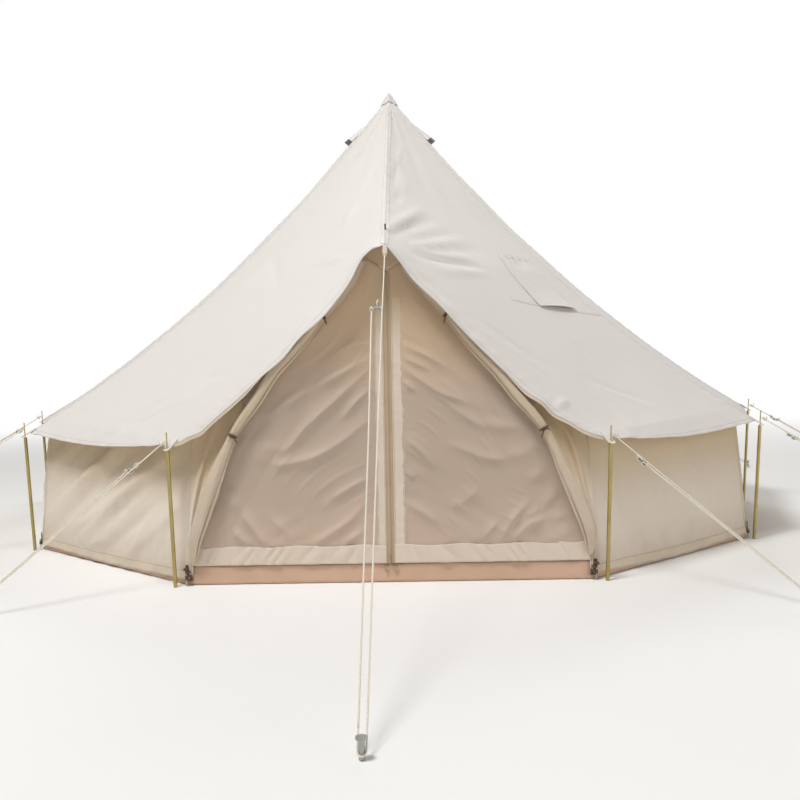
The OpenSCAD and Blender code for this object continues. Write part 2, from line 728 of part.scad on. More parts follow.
// Peg of each guy, as [x, y], right of the tent and round to the rear
guy_peg_xy = [[1800, -2800], [3080, -2140], [3740, -240], [3325, 1735], [1945, 3210], [0, 3750]];
front_guy_start = [0, -peak_out - seam_gap - tab_t - rope_r, peak_h - tab_back + tab_t];
front_guy_peg = [-50, -4120];
peg_grip_h = 24;
function guy_side(k) = k < pole_count / 2 ? 1 : -1;
function guy_peg(k) = let (i = k < pole_count / 2 ? k : pole_count - 1 - k, p = guy_peg_xy[i])
    [guy_side(k) * p.x, p.y, peg_grip_h];
function guy_start(k) = let (p = pole_pt(k, guy_start_h), d = guy_peg(k) - p)
    p + unit([d.x, d.y, 0]) * (spike_d / 2 + rope_r * 0.7);
runner_at = 215;
front_runner_at = 415;
turn_steps = 8;
// Route of one rope in its own plane, whose slope stretches the turn round the upright peg
function guy_route(l, runner, w, turn) = concat(
    [[0, 0], [40, 0], [runner, 0], [l / 2, -peg_turn / 3], [l - 60, -peg_turn]],
    [for (a = steps(-90, 90, turn_steps)) [l + turn * cos(a), peg_turn * sin(a)]],
    [[l - 60, peg_turn], [l / 2, mix(peg_turn, w, 0.5)], [runner + 60, w], [runner, w]]);
function rope_rings(a, b, runner) =
    let (d = unit(b - a), side = unit(cross(d, [0, 0, 1])), n = cross(side, d), l = norm(b - a),
        turn = peg_turn / norm([d.x, d.y]), route = guy_route(l, runner, runner_w, turn),
        pts = [for (q = route) a + d * q[0] + side * q[1]], e = len(pts) - 1)
    [for (i = [0:e]) let (t = unit(pts[min(i + 1, e)] - pts[max(i - 1, 0)]), m = cross(t, n))
        [for (j = [0:7]) pts[i] + rope_r * (n * cos(45 * j) - m * sin(45 * j))]];
module guy_rope(a, b, runner) {
    color(rope_white)
        tube(rope_rings(a, b, runner));
}

// Tensioner: a rounded triangle with three holes that lies under its rope
module tensioner(a, b, runner) {
    d = unit(b - a);
    side = unit(cross(d, [0, 0, 1]));
    n = cross(side, d);
    corners = [[0, 0], [0, runner_w], [-runner_w * 0.75, runner_w / 2]];
    o = a + d * (runner - 6) - n * (rope_r + lay_gap + runner_t);
    color(steel)
        multmatrix([
            [d.x, side.x, n.x, o.x],
            [d.y, side.y, n.y, o.y],
            [d.z, side.z, n.z, o.z],
            [0, 0, 0, 1]])
            linear_extrude(runner_t)
                difference() {
                    union() {
                        polygon(corners);
                        for (c = corners)
                            translate(c)
                                circle(d = runner_hole_d * 1.9);
                    }
                    for (c = corners)
                        translate(c)
                            circle(d = runner_hole_d);
                }
}
module guy_peg_at(p) {
    translate([p.x, p.y, 0])
        cylinder(d = peg_d, h = peg_h);
    translate([p.x, p.y, peg_h - 6])
        cylinder(d = peg_head_d, h = 6);
}
module guy_pegs() {
    color(steel) {
        for (k = [0:pole_count - 1]) guy_peg_at(guy_peg(k));
        guy_peg_at(front_guy_peg);
    }
}
front_peg_grip = [front_guy_peg.x, front_guy_peg.y, peg_grip_h];
module guy_rope_front() { guy_rope(front_guy_start, front_peg_grip, front_runner_at); }
module tensioner_front() { tensioner(front_guy_start, front_peg_grip, front_runner_at); }

roof_front_left();
roof_front_right();
roof_left();
roof_right();
roof_rear();
apex_cap();
vent_hoods();
stove_flap();
wall_left();
wall_right();
wall_rear();
groundsheet();
groundsheet_rim();
door_sill();
screen_left();
screen_right();
door_flanks();
door_zip_slider();
sill_slider_left();
sill_slider_right();
rolled_door_left();
rolled_door_right();
door_ties();
centre_pole_lower();
centre_pole_upper();
centre_pole_foot();
centre_pole_top();
a_frame_left_leg();
a_frame_right_leg();
a_frame_crown();
wall_poles();
guy_tabs();
guy_pegs();
wall_pegs();
peg_loops();
guy_rope_front();
tensioner_front();
for (k = [0:pole_count - 1]) {
    guy_rope(guy_start(k), guy_peg(k), runner_at);
    tensioner(guy_start(k), guy_peg(k), runner_at);
}
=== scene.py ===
"""Bell tent: canvas, mesh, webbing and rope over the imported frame, in metres."""
import math

import bpy
import numpy as np
from bpy.props import FloatProperty, FloatVectorProperty, PointerProperty
from mathutils import Matrix, Vector


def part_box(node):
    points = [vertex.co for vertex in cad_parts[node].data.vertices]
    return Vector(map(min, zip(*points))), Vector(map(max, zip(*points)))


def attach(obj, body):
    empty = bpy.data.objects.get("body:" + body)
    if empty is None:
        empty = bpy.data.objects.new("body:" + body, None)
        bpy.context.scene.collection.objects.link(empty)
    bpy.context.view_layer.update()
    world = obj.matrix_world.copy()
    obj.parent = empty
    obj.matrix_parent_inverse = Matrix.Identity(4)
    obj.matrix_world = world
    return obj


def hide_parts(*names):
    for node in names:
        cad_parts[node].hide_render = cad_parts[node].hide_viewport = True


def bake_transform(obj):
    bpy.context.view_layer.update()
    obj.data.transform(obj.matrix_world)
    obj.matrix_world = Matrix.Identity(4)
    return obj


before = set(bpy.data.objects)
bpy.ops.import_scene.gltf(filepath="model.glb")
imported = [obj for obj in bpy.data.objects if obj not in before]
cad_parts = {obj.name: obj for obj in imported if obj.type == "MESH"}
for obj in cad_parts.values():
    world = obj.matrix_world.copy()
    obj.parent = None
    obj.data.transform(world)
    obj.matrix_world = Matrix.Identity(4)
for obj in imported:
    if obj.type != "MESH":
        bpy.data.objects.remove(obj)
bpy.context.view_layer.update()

bl_info = {
    "name": "Bell tent",
    "version": (1, 0, 0),
    "blender": (4, 5, 0),
    "location": "View3D > Sidebar > Bell tent",
    "description": "Dresses the bell tent's frame in canvas, mesh, webbing and rope",
    "category": "Object",
}

# A full turn, arrows, a mask that drops the height, and the door's sides
TURN = 2 * math.pi
BACK = np.array([0.0, 1.0, 0.0])
FRONT = np.array([0.0, -1.0, 0.0])
UP = np.array([0.0, 0.0, 1.0])
LEVEL = np.array([1.0, 1.0, 0.0])
SIDES = ((-1, "left"), (1, "right"))

# Roof, as in the part's source
APEX_H = 3.0
EAVE_R = 2.546
EAVE_H = 0.685
DROP = APEX_H - EAVE_H
SEAM_DIP = 0.2
DIP4 = 4 * SEAM_DIP
EAVE_SLOPE = (DROP - DIP4) / EAVE_R
EAVE_DROOP = 0.038
GORE_SINK = 0.014
PEAK_OUT = 2.42
PEAK_H = 1.6
EDGE_LEVEL = 0.74
REACH_LEFT = 0.8
REACH_RIGHT = 0.745

# Wall poles, counted to the right from the door, and the tabs on their spikes
FIRST_AZ = 24.0
POLES = 11
POLE_STEP = (360 - 2 * FIRST_AZ) / (POLES - 1)
POLE_FOOT_R = 2.54
TAB_OUT = 0.025
TAB_EYE_R = EAVE_R + TAB_OUT
TAB_EYE_H = EAVE_H - TAB_OUT * EAVE_SLOPE

# Wall, door and groundsheet
WALL_FOOT_R = 2.5
WALL_TOP_R = 2.43
WALL_H = 0.72
WALL_TUCK = 0.004
HEM_H = 0.038
CLEARANCE = 0.0034
FOOT_AZ = FIRST_AZ - 0.92
DOOR_Y = -2.29238
SILL_H = 0.092
RIM_H = 0.07
FOLD_FOOT = np.array([0.87, 0.0924])
FOLD_TOP = np.array([0.004, 1.5])
FOLD_OUT = np.array([0.851716, 0.524003])

# Rows of the roof, from 0 at the apex to 1 at the eave, and what hangs from them
HOLE_ROW = 0.046 / EAVE_R
CAP_ROW = 0.064 / EAVE_R
VENT_ROW = HOLE_ROW + 0.1
WALL_ROW = WALL_TOP_R / EAVE_R
PEAK_ROW = ((DROP + DIP4) - math.sqrt((DROP + DIP4) ** 2 - 4 * DIP4 * (APEX_H - PEAK_H))) / (2 * DIP4)
WALL_TOP_Z = APEX_H - (DROP + DIP4) * WALL_ROW + DIP4 * WALL_ROW ** 2 - CLEARANCE
RIM_R = WALL_FOOT_R - (WALL_FOOT_R - WALL_TOP_R) * (RIM_H - HEM_H) / (WALL_TOP_Z - HEM_H) - CLEARANCE

# Guy ropes: pegs from the door to the rear, the eye on a spike and the tensioner's place
ROPE_PEGS = [(1.8, -2.8), (3.08, -2.14), (3.74, -0.24), (3.325, 1.735), (1.945, 3.21), (0.0, 3.75)]
ROPE_EYE_H = 0.706
SPIKE_GAP = 0.0051
FRONT_PEG = (-0.05, -4.12)
FRONT_START = (0.0, -2.4273, 1.564)
PEG_GRIP = 0.024
PEG_TURN = 0.0123
RUNNER_W = 0.044
RUNNER_FRONT = 0.415
RUNNER_SIDE = 0.215

# Soft forms of the cloth: swell by the peak at the left, slant of the walls' folds, and the roof's
# two edges by the door, each as its panel count and the way inward
PEAK_SWELL = 0.036
PEAK_BEND = 0.11
SLANT_LEFT = 0.75
SLANT_RIGHT = 0.2
SLANT_REAR = 0.15
ROOF_EDGES = ((0, 1), (POLES - 1, -1))
# Lengths on the roof: a panel's width at the eave, and the way from the apex to the eave, along a seam
# and down the middle of a panel
PANEL_W = 1.36
SEAM_RUN = 3.1
GORE_RUN = 2.95

# Thicknesses, the lift of a seam over its cloth, and points across a wall panel and the rim
NET = 0.0008
TAPE = 0.0012
GROUND_CLOTH = 0.0012
SEAM_LIFT = 0.0004
WALL_COLS = 72
RIM_STEPS = 36


def length(label, words, metres):
    """Length property."""
    return FloatProperty(name=label, description=words, default=metres, unit="LENGTH")


class TentSizes(bpy.types.PropertyGroup):
    """Sizes of the cloth and rope."""

    canvas: length("Canvas", "Thickness of the canvas", 0.0016)
    seam: length("Seam", "Width of a sewn seam", 0.02)
    hem: length("Hem", "Width of the hems", 0.03)
    rope: length("Rope", "Diameter of a guy rope", 0.006)
    mesh_fold: length("Mesh folds", "Depth of the mesh doors' folds", 0.017)
    wall_left: length("Left folds", "Depth of the left wall's folds", 0.034)
    wall_right: length("Right folds", "Depth of the right wall's folds", 0.012)
    wall_rear: length("Rear folds", "Depth of the rear wall's folds", 0.02)


def colour(label, words, rgb):
    """Colour property from screen values of 0 to 255."""
    return FloatVectorProperty(name=label, description=words, subtype="COLOR", size=3, min=0, max=1,
                               default=tuple(screen(c) for c in rgb))


def screen(c):
    """Linear value of a screen value from 0 to 255."""
    c /= 255
    return c / 12.92 if c <= 0.04045 else ((c + 0.055) / 1.055) ** 2.4


class TentColours(bpy.types.PropertyGroup):
    """Colours of the finishes."""

    roof: colour("Roof canvas", "Proofed cotton of the roof", (226, 222, 218))
    # Wall canvas: set darker and warmer than the roof's, partly as painted shade from the eave
    wall: colour("Wall canvas", "Proofed cotton of the walls and rolled doors", (220, 206, 186))
    # Mesh: browner and darker partly as painted shade of the tent's dark inside seen through it
    mesh: colour("Mesh", "Insect mesh of the doors", (198, 178, 160))
    binding: colour("Binding", "Tape beside the zip and hem of the mesh", (221, 206, 190))
    zip_band: colour("Zip band", "Woven band of the zip", (186, 164, 136))
    sheet: colour("Groundsheet", "Coated groundsheet", (209, 175, 151))
    webbing: colour("Webbing", "Ties, tabs and loops", (88, 62, 42))
    rope: colour("Rope", "Guy ropes", (240, 232, 216))
    pole: colour("Wall poles", "Yellow plating of the wall poles", (174, 157, 100))
    steel: colour("Steel", "Galvanised tubes and pegs", (168, 168, 166))
    plate: colour("Tensioner", "Tensioner plates", (132, 130, 124))
    moulded: colour("Mouldings", "Dark mouldings", (44, 44, 46))
    floor: colour("Floor", "Studio floor", (248, 248, 248))


# Finishes


class Finish:
    """A procedural material: its shader and short ways to add and join nodes."""

    def __init__(self, name, rgb, rough, **sockets):
        self.material = bpy.data.materials.new(name)
        self.material.use_nodes = True
        self.tree = self.material.node_tree
        self.shader = self.tree.nodes["Principled BSDF"]
        self.shader.inputs["Base Color"].default_value = (*rgb, 1)
        self.shader.inputs["Roughness"].default_value = rough
        for key, value in sockets.items():
            self.shader.inputs[key.replace("_", " ").title().replace("Ior", "IOR")].default_value = value
        self.rgb = rgb

    def put(self, socket, value):
        """Join a node's output to a socket, or set the socket's own value."""
        if isinstance(value, bpy.types.NodeSocket):
            self.tree.links.new(value, socket)
        else:
            socket.default_value = value

    def add(self, kind, settings=None, **inputs):
        """New node with its settings and inputs."""
        node = self.tree.nodes.new("ShaderNode" + kind)
        for key, value in (settings or {}).items():
            setattr(node, key, value)
        for key, value in inputs.items():
            self.put(node.inputs[key.replace("_", " ")], value)
        return node

    def place(self, source):
        """Place to read a pattern: UV in metres along the cloth, or Object in metres."""
        return self.add("TexCoord").outputs[source]

    def along(self, source, axis):
        """One coordinate of a place."""
        return self.add("SeparateXYZ", Vector=self.place(source)).outputs[axis]

    def noise(self, scale, detail, vector=None):
        """Noise over the object's own place, or over another vector."""
        vector = vector or self.place("Object")
        return self.add("TexNoise", Vector=vector, Scale=scale, Detail=detail).outputs["Fac"]

    def drawn(self, source, scales, detail):
        """Noise drawn out along one way of the cloth or metal."""
        vector = self.add("Mapping", Vector=self.place(source), Scale=scales).outputs[0]
        return self.noise(1.0, detail, vector)

    def wave(self, scale, direction, source="UV", distortion=0.0):
        return self.add("TexWave", {"bands_direction": direction}, Vector=self.place(source), Scale=scale,
                        Distortion=distortion).outputs["Fac"]

    def maths(self, operation, a, b=0.0):
        node = self.add("Math", {"operation": operation})
        self.put(node.inputs[0], a)
        self.put(node.inputs[1], b)
        return node.outputs[0]

    def shades(self, factor, *stops):
        """Colour ramp of brightness shares of the finish's own colour."""
        ramp = self.add("ValToRGB", Fac=factor)
        for element, (position, share) in zip(ramp.color_ramp.elements, stops):
            element.position = position
            element.color = (*(min(1, c * share) for c in self.rgb), 1)
        return ramp.outputs["Color"]

    def blend(self, factor, a, b, kind="MIX"):
        """Mix of two colours."""
        node = self.add("Mix", {"data_type": "RGBA", "blend_type": kind})
        sockets = {s.identifier: s for s in node.inputs}
        for name, value in (("Factor_Float", factor), ("A_Color", a), ("B_Color", b)):
            self.put(sockets[name], value)
        return next(s for s in node.outputs if s.identifier == "Result_Color")

    def graded(self, cloth, low, high, foot, head):
        """Cloth colour times a share that goes from one at a low height to another at a high one."""
        level = self.add("MapRange", {"interpolation_type": "SMOOTHSTEP"}, Value=self.along("Object", "Z"),
                         From_Min=low, From_Max=high).outputs[0]
        return self.blend(1.0, cloth, self.blend(level, (*foot, 1), (*head, 1)), "MULTIPLY")

    def tint(self, socket):
        self.tree.links.new(socket, self.shader.inputs["Base Color"])

    def mottled(self, share, *layers):
        """Base colour from two layers of shades, each a pattern and its stops."""
        self.tint(self.blend(share, *(self.shades(*layer) for layer in layers)))

    def rough(self, factor, low, high):
        span = self.add("MapRange", Value=factor, To_Min=low, To_Max=high)
        self.tree.links.new(span.outputs["Result"], self.shader.inputs["Roughness"])

    def bump(self, height, strength, distance):
        """Bump on top of those that are there."""
        node = self.add("Bump", Height=height, Strength=strength, Distance=distance)
        last = self.shader.inputs["Normal"]
        if last.is_linked:
            self.tree.links.new(last.links[0].from_socket, node.inputs["Normal"])
        self.tree.links.new(node.outputs["Normal"], last)


# Shares of a cloth's colour: soil near the ground, sewing thread, and painted shade on the rolled doors
SOIL_SHARE = (0.62, 0.55, 0.48)
THREAD_SHARE = (0.7, 0.66, 0.58)
ROLL_PAINTED_SHADE = (0.84, 0.79, 0.72)
# Painted light and shade by height: the low and the high level, and the shares below and above them
# Walls: painted shade under the eave at the top, painted light near the foot
WALL_PAINTED_LIGHT_AND_SHADE = (0.28, 0.68, (1.12, 1.155, 1.25), (0.86, 0.77, 0.61))
# Mesh: painted light low down, painted shade in the middle, and a painted warm tint of light near the roof
MESH_PAINTED_LIGHT_AND_SHADE = ((0.2, 0.5, (1.07, 1.06, 1.05), (0.95, 0.95, 0.95)),
               (0.8, 1.35, (1.0, 1.0, 1.0), (1.2, 1.12, 0.92)))
# Zip binding: painted warm shade near the roof's peak
BINDING_PAINTED_SHADE = (1.12, 1.34, (1.0, 1.0, 1.0), (0.9, 0.83, 0.72))
# Rolled doors: painted light low down, near the floor
ROLL_PAINTED_LIGHT = (0.45, 0.85, (1.03, 1.05, 1.12), (1.0, 1.0, 1.0))
# Threads per metre in the patterns, as wave scales
WEAVE = 230
NET_GRID = 175


def shared(rgb, shares):
    """Colour times a share for each of red, green and blue."""
    return tuple(c * share for c, share in zip(rgb, shares))


def canvas_finish(name, rgb, soil=0.0, grade=None):
    """Proofed cotton canvas: plain weave, slubs, soft mottling, near the ground a little soil, and, when a
    grade is given, painted light and shade by height.
    """
    f = Finish(name, rgb, 0.86, sheen_weight=0.12, sheen_roughness=0.6)
    weave = f.maths("MULTIPLY", f.wave(WEAVE, "X"), f.wave(WEAVE, "Y"))
    slub = f.drawn("UV", (14, 420, 1), 2.0)
    tone = f.shades(f.noise(1.4, 4), (0.3, 0.955), (0.7, 1.03))
    mottle = f.shades(f.noise(26, 5), (0.35, 0.975), (0.65, 1.015))
    cloth = f.blend(0.5, tone, mottle)
    cloth = f.blend(0.35, cloth, f.shades(slub, (0.35, 0.95), (0.65, 1.04)))
    if soil:
        low = f.add("MapRange", Value=f.along("Object", "Z"), From_Min=0.02, From_Max=0.22, To_Min=1.0,
                    To_Max=0.0).outputs[0]
        patch = f.maths("MULTIPLY", low, f.noise(9, 5))
        cloth = f.blend(f.maths("MULTIPLY", patch, soil), cloth, (*shared(rgb, SOIL_SHARE), 1))
    # The grade, when given, is painted light and shade by height
    f.tint(f.graded(cloth, *grade) if grade else cloth)
    f.rough(slub, 0.8, 0.92)
    f.bump(f.noise(5.5, 4), 0.35, 0.004)
    f.bump(weave, 0.12, 0.0004)
    f.bump(slub, 0.1, 0.0004)
    return f.material


def seam_finish(name, rgb, grade=None):
    """Folded canvas tape with two rows of stitches, along U with V across from 0 to 1, and, when a grade is
    given, painted shade by height.
    """
    f = Finish(name, rgb, 0.86, sheen_weight=0.12)
    dash = f.maths("GREATER_THAN", f.maths("FRACT", f.maths("MULTIPLY", f.along("UV", "X"), 180.0)), 0.35)
    off_middle = f.maths("ABSOLUTE", f.maths("SUBTRACT", f.along("UV", "Y"), 0.5))
    row = f.maths("LESS_THAN", f.maths("ABSOLUTE", f.maths("SUBTRACT", off_middle, 0.36)), 0.045)
    stitch = f.maths("MULTIPLY", dash, row)
    tone = f.shades(f.noise(12, 5), (0.3, 0.93), (0.7, 1.03))
    tape = f.blend(stitch, tone, (*shared(rgb, THREAD_SHARE), 1))
    # The grade, when given, is painted shade by height
    f.tint(f.graded(tape, *grade) if grade else tape)
    f.bump(stitch, 0.5, 0.0008)
    f.bump(f.noise(38, 4), 0.35, 0.002)
    f.bump(f.wave(WEAVE, "X"), 0.1, 0.0004)
    return f.material


def mesh_finish(name, rgb, grades):
    """Fine insect mesh: a tight grid of threads with a silky sheen, and painted light and shade by height."""
    f = Finish(name, rgb, 0.55, sheen_weight=0.35, sheen_roughness=0.4, alpha=0.93)
    grid = f.maths("MAXIMUM", f.wave(NET_GRID, "X"), f.wave(NET_GRID, "Y"))
    tone = f.shades(f.noise(2.2, 3), (0.3, 0.94), (0.7, 1.05))
    net = f.blend(0.4, tone, f.shades(grid, (0.2, 0.86), (0.9, 1.06)))
    # Each grade paints light or shade by height
    for grade in grades:
        net = f.graded(net, *grade)
    f.tint(net)
    f.rough(grid, 0.62, 0.48)
    f.bump(f.noise(7, 3), 0.4, 0.006)
    f.bump(grid, 0.2, 0.0004)
    return f.material


def coated_finish(name, rgb):
    """Coated groundsheet: faint weave through a soft, slightly shiny skin with scuffs and dust."""
    f = Finish(name, rgb, 0.5, specular_ior_level=0.4)
    scuff = f.noise(16, 6)
    dust = f.noise(2.6, 4)
    f.mottled(0.5, (dust, (0.3, 0.9), (0.7, 1.05)), (scuff, (0.35, 0.94), (0.65, 1.03)))
    f.rough(scuff, 0.42, 0.66)
    f.bump(f.noise(6, 4), 0.45, 0.005)
    f.bump(f.wave(150, "X", "Object"), 0.06, 0.0003)
    return f.material


def webbing_finish(name, rgb):
    """Herringbone webbing with lighter and darker mottling."""
    f = Finish(name, rgb, 0.8, sheen_weight=0.2)
    ribs = f.wave(90, "DIAGONAL", "Object", 1.5)
    f.mottled(0.6, (ribs, (0.2, 0.75), (0.8, 1.25)), (f.noise(60, 4), (0.3, 0.8), (0.7, 1.3)))
    f.bump(ribs, 0.4, 0.0006)
    f.rough(f.noise(80, 3), 0.7, 0.9)
    return f.material


def rope_finish(name, rgb):
    """Laid rope: three strands that wind round, with stray fibres and painted shade where the strands meet. U
    runs along in metres, V round.
    """
    f = Finish(name, rgb, 0.78, sheen_weight=0.25)
    along, round_ = f.along("UV", "X"), f.along("UV", "Y")
    turn = f.maths("ADD", f.maths("MULTIPLY", along, 62.0), f.maths("MULTIPLY", round_, 3.0))
    strand = f.maths("PINGPONG", f.maths("FRACT", turn), 0.5)
    fibre = f.noise(420, 3)
    # Colour goes darker where the strands meet: painted shade in the grooves
    f.mottled(0.3, (strand, (0.0, 0.72), (0.28, 1.0)), (fibre, (0.3, 0.9), (0.7, 1.05)))
    f.bump(strand, 0.8, 0.0016)
    f.bump(fibre, 0.2, 0.0004)
    return f.material


def metal_finish(name, rgb, rough, grain=90.0):
    """Plated or brushed metal with drawn lines, dull patches and small scratches."""
    f = Finish(name, rgb, rough, metallic=1.0)
    lines = f.drawn("Object", (grain, grain, 3), 3.0)
    patch = f.noise(9, 5)
    f.mottled(0.5, (lines, (0.3, 0.88), (0.7, 1.08)), (patch, (0.35, 0.72), (0.6, 1.05)))
    f.rough(patch, max(0.05, rough - 0.1), min(1, rough + 0.16))
    f.bump(lines, 0.12, 0.0003)
    return f.material


def moulded_finish(name, rgb):
    """Dark moulded plastic with a fine grain."""
    f = Finish(name, rgb, 0.5)
    grain = f.noise(300, 3)
    f.tint(f.shades(f.noise(14, 4), (0.3, 0.8), (0.7, 1.25)))
    f.rough(grain, 0.42, 0.62)
    f.bump(grain, 0.2, 0.0004)
    return f.material


FINISHES = {}


def finish(name):
    """The named finish, made on first use."""
    if name in FINISHES:
        return FINISHES[name]
    c = bpy.context.scene.tent_colours
    # Vent colour: near black, partly the net's own colour and partly painted shade in the hood's mouth
    vent = tuple(m * 1.4 + w * 0.4 for m, w in zip(c.moulded, c.webbing))
    maker, *look = {
        "Roof canvas": (canvas_finish, c.roof[:]),
        "Roof seam": (seam_finish, c.roof[:]),
        "Wall canvas": (canvas_finish, c.wall[:], 0.9, WALL_PAINTED_LIGHT_AND_SHADE),
        "Rolled canvas": (canvas_finish, shared(c.wall, ROLL_PAINTED_SHADE), 0.0, ROLL_PAINTED_LIGHT),
        "Wall seam": (seam_finish, c.wall[:]),
        "Door mesh": (mesh_finish, c.mesh[:], MESH_PAINTED_LIGHT_AND_SHADE),
        "Mesh hem": (canvas_finish, c.binding[:]),
        "Zip binding": (seam_finish, c.binding[:], BINDING_PAINTED_SHADE),
        "Zip band": (seam_finish, c.zip_band[:]),
        "Groundsheet": (coated_finish, c.sheet[:]),
        "Brown webbing": (webbing_finish, c.webbing[:]),
        "Vent mesh": (webbing_finish, vent),
        "Laid rope": (rope_finish, c.rope[:]),
        "Yellow plating": (metal_finish, c.pole[:], 0.34),
        "Galvanised steel": (metal_finish, c.steel[:], 0.42),
        "Tensioner plate": (metal_finish, c.plate[:], 0.4),
        "Zip metal": (metal_finish, shared(c.zip_band, (0.8, 0.8, 0.8)), 0.42),
        "Brass eyelet": (metal_finish, c.pole[:], 0.3, 40.0),
        "Dark moulding": (moulded_finish, c.moulded[:]),
    }[name]
    FINISHES[name] = maker(name, *look)
    return FINISHES[name]


# Lines and meshes


def unit(v):
    """Arrows of length one."""
    return v / np.maximum(np.linalg.norm(v, axis=-1, keepdims=True), 1e-12)


def ease(t):
    """Soft step from 0 to 1."""
    t = np.clip(t, 0, 1)
    return t * t * (3 - 2 * t)


def hoop(centre, a, b, turn):
    """Points round a centre; the arrows a and b are its two half widths."""
    return centre + np.outer(np.cos(turn), a) + np.outer(np.sin(turn), b)


def way_along(path):
    """Length along a path up to each of its points."""
    return np.concatenate([[0], np.cumsum(np.linalg.norm(np.diff(path, axis=0), axis=1))])


def piece(name, points, faces, uvs, look, slot, body, smooth=True):
    """New object from points and faces, with its finish, that rides on a body."""
    mesh = bpy.data.meshes.new(name)
    mesh.from_pydata([tuple(p) for p in points], [], [tuple(f) for f in faces])
    if uvs is not None:
        layer = mesh.uv_layers.new(name="Cloth")
        loops = np.empty(len(mesh.loops), int)
        mesh.loops.foreach_get("vertex_index", loops)
        layer.data.foreach_set("uv", np.asarray(uvs, float)[loops].ravel())
    mesh.polygons.foreach_set("use_smooth", [smooth] * len(mesh.polygons))
    mesh.materials.append(finish(look))
    mesh.update()
    made = bpy.data.objects.new(name, mesh)
    bpy.context.scene.collection.objects.link(made)
    if body:
        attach(made, body)
    return made


def grid_faces(rows, cols, start=0, round_=False):
    """Quads of a grid of points, seen from outside with rows down and columns to the right."""
    span = cols if round_ else cols - 1
    return [(start + i * cols + j, start + (i + 1) * cols + j, start + (i + 1) * cols + (j + 1) % cols,
             start + i * cols + (j + 1) % cols) for i in range(rows - 1) for j in range(span)]


def grid_lengths(grid):
    """UV in metres along the rows and columns of a grid of points."""
    across = np.linalg.norm(np.diff(grid, axis=1), axis=2)
    down = np.linalg.norm(np.diff(grid, axis=0), axis=2)
    u = np.concatenate([np.zeros((grid.shape[0], 1)), np.cumsum(across, 1)], 1)
    v = np.concatenate([np.zeros((1, grid.shape[1])), np.cumsum(down, 0)], 0)
    return np.stack([u - u[:, -1:] / 2, -v], -1)


def thicken(made, thick, offset=-1.0):
    """Give a sheet its thickness, inward from its points unless offset says otherwise."""
    skin = made.modifiers.new("Thickness", "SOLIDIFY")
    skin.thickness = thick
    skin.offset = offset


def cloth(name, grid, look, slot, body, thick, offset=-1.0):
    """Sheet of cloth over a grid of points, with its thickness."""
    faces, uvs = grid_faces(*grid.shape[:2]), grid_lengths(grid)
    made = piece(name, grid.reshape(-1, 3), faces, uvs.reshape(-1, 2), look, slot, body)
    thicken(made, thick, offset)
    return made


def grid_normals(grid):
    """Outward normals of a grid of points."""
    return unit(np.cross(np.gradient(grid, axis=0), np.gradient(grid, axis=1)))


class Strips:
    """Flat tapes, gathered into one mesh."""

    ACROSS = (0.0, 0.06, 0.94, 1.0)

    def __init__(self):
        self.points, self.faces, self.uvs = [], [], []

    def tape(self, left, right, lift=None, thick=TAPE):
        """Tape between two lines of points, its outer side moved along lift."""
        left, right = np.asarray(left, float), np.asarray(right, float)
        middle = (left + right) / 2
        if lift is None:
            lift = unit(np.cross(np.gradient(middle, axis=0), right - left))
        rise = np.broadcast_to(lift, left.shape) * thick
        count, start, round_ = len(left), len(self.points), len(self.ACROSS)
        self.points += list(np.stack([left, left + rise, right + rise, right], 1).reshape(-1, 3))
        self.uvs += [(run, across) for run in way_along(middle) for across in self.ACROSS]
        self.faces += grid_faces(count, round_, start, True)
        self.faces += [tuple(start + j for j in range(round_)),
                       tuple(start + (count - 1) * round_ + j for j in reversed(range(round_)))]

    def make(self, name, look, slot, body):
        return piece(name, self.points, self.faces, self.uvs, look, slot, body, smooth=False)


def frames_along(path):
    """Two side directions at each point of a path, turned as little as possible."""
    tangent = unit(np.gradient(path, axis=0))
    side = np.cross(tangent[0], UP if abs(tangent[0][2]) < 0.9 else (1.0, 0, 0))
    sides = []
    for t in tangent:
        side = unit(side - t * np.dot(side, t))
        sides.append(side)
    return np.array(sides), np.cross(tangent, sides)


def tube_mesh(path, radius, sides=10):
    """Points, faces and UV of a round tube along a path."""
    a, b = frames_along(path)
    turn = np.linspace(0, TURN, sides, endpoint=False)[None, :, None]
    ring = path[:, None] + radius * (a[:, None] * np.cos(turn) + b[:, None] * np.sin(turn))
    uv = np.stack(np.broadcast_arrays(way_along(path)[:, None], np.arange(sides)[None] / sides), -1)
    faces = [(f[0], f[3], f[2], f[1]) for f in grid_faces(len(path), sides, 0, True)]
    faces += [tuple(range(sides))[::-1], tuple(range((len(path) - 1) * sides, len(path) * sides))]
    return ring.reshape(-1, 3), faces, uv.reshape(-1, 2)


def tubes(name, paths, radius, look, slot, body):
    """Round tubes along paths, gathered into one mesh."""
    points, faces, uvs = [], [], []
    for path in paths:
        p, f, u = tube_mesh(path, radius, 8)
        faces += [tuple(len(points) + i for i in g) for g in f]
        points += list(p)
        uvs += list(u)
    return piece(name, points, faces, uvs, look, slot, body)


def spline(points, step):
    """Smooth path through points, at about even steps."""
    p = np.asarray(points, float)
    p = np.vstack([2 * p[0] - p[1], p, 2 * p[-1] - p[-2]])
    out = []
    for a, b, c, d in zip(p[:-3], p[1:-2], p[2:-1], p[3:]):
        n = max(2, int(math.ceil(np.linalg.norm(c - b) / step)))
        t = np.linspace(0, 1, n, endpoint=False)[:, None]
        out.append(0.5 * (2 * b + (c - a) * t + (2 * a - 5 * b + 4 * c - d) * t ** 2
                          + (3 * b - a - 3 * c + d) * t ** 3))
    return np.vstack(out + [p[-2][None]])


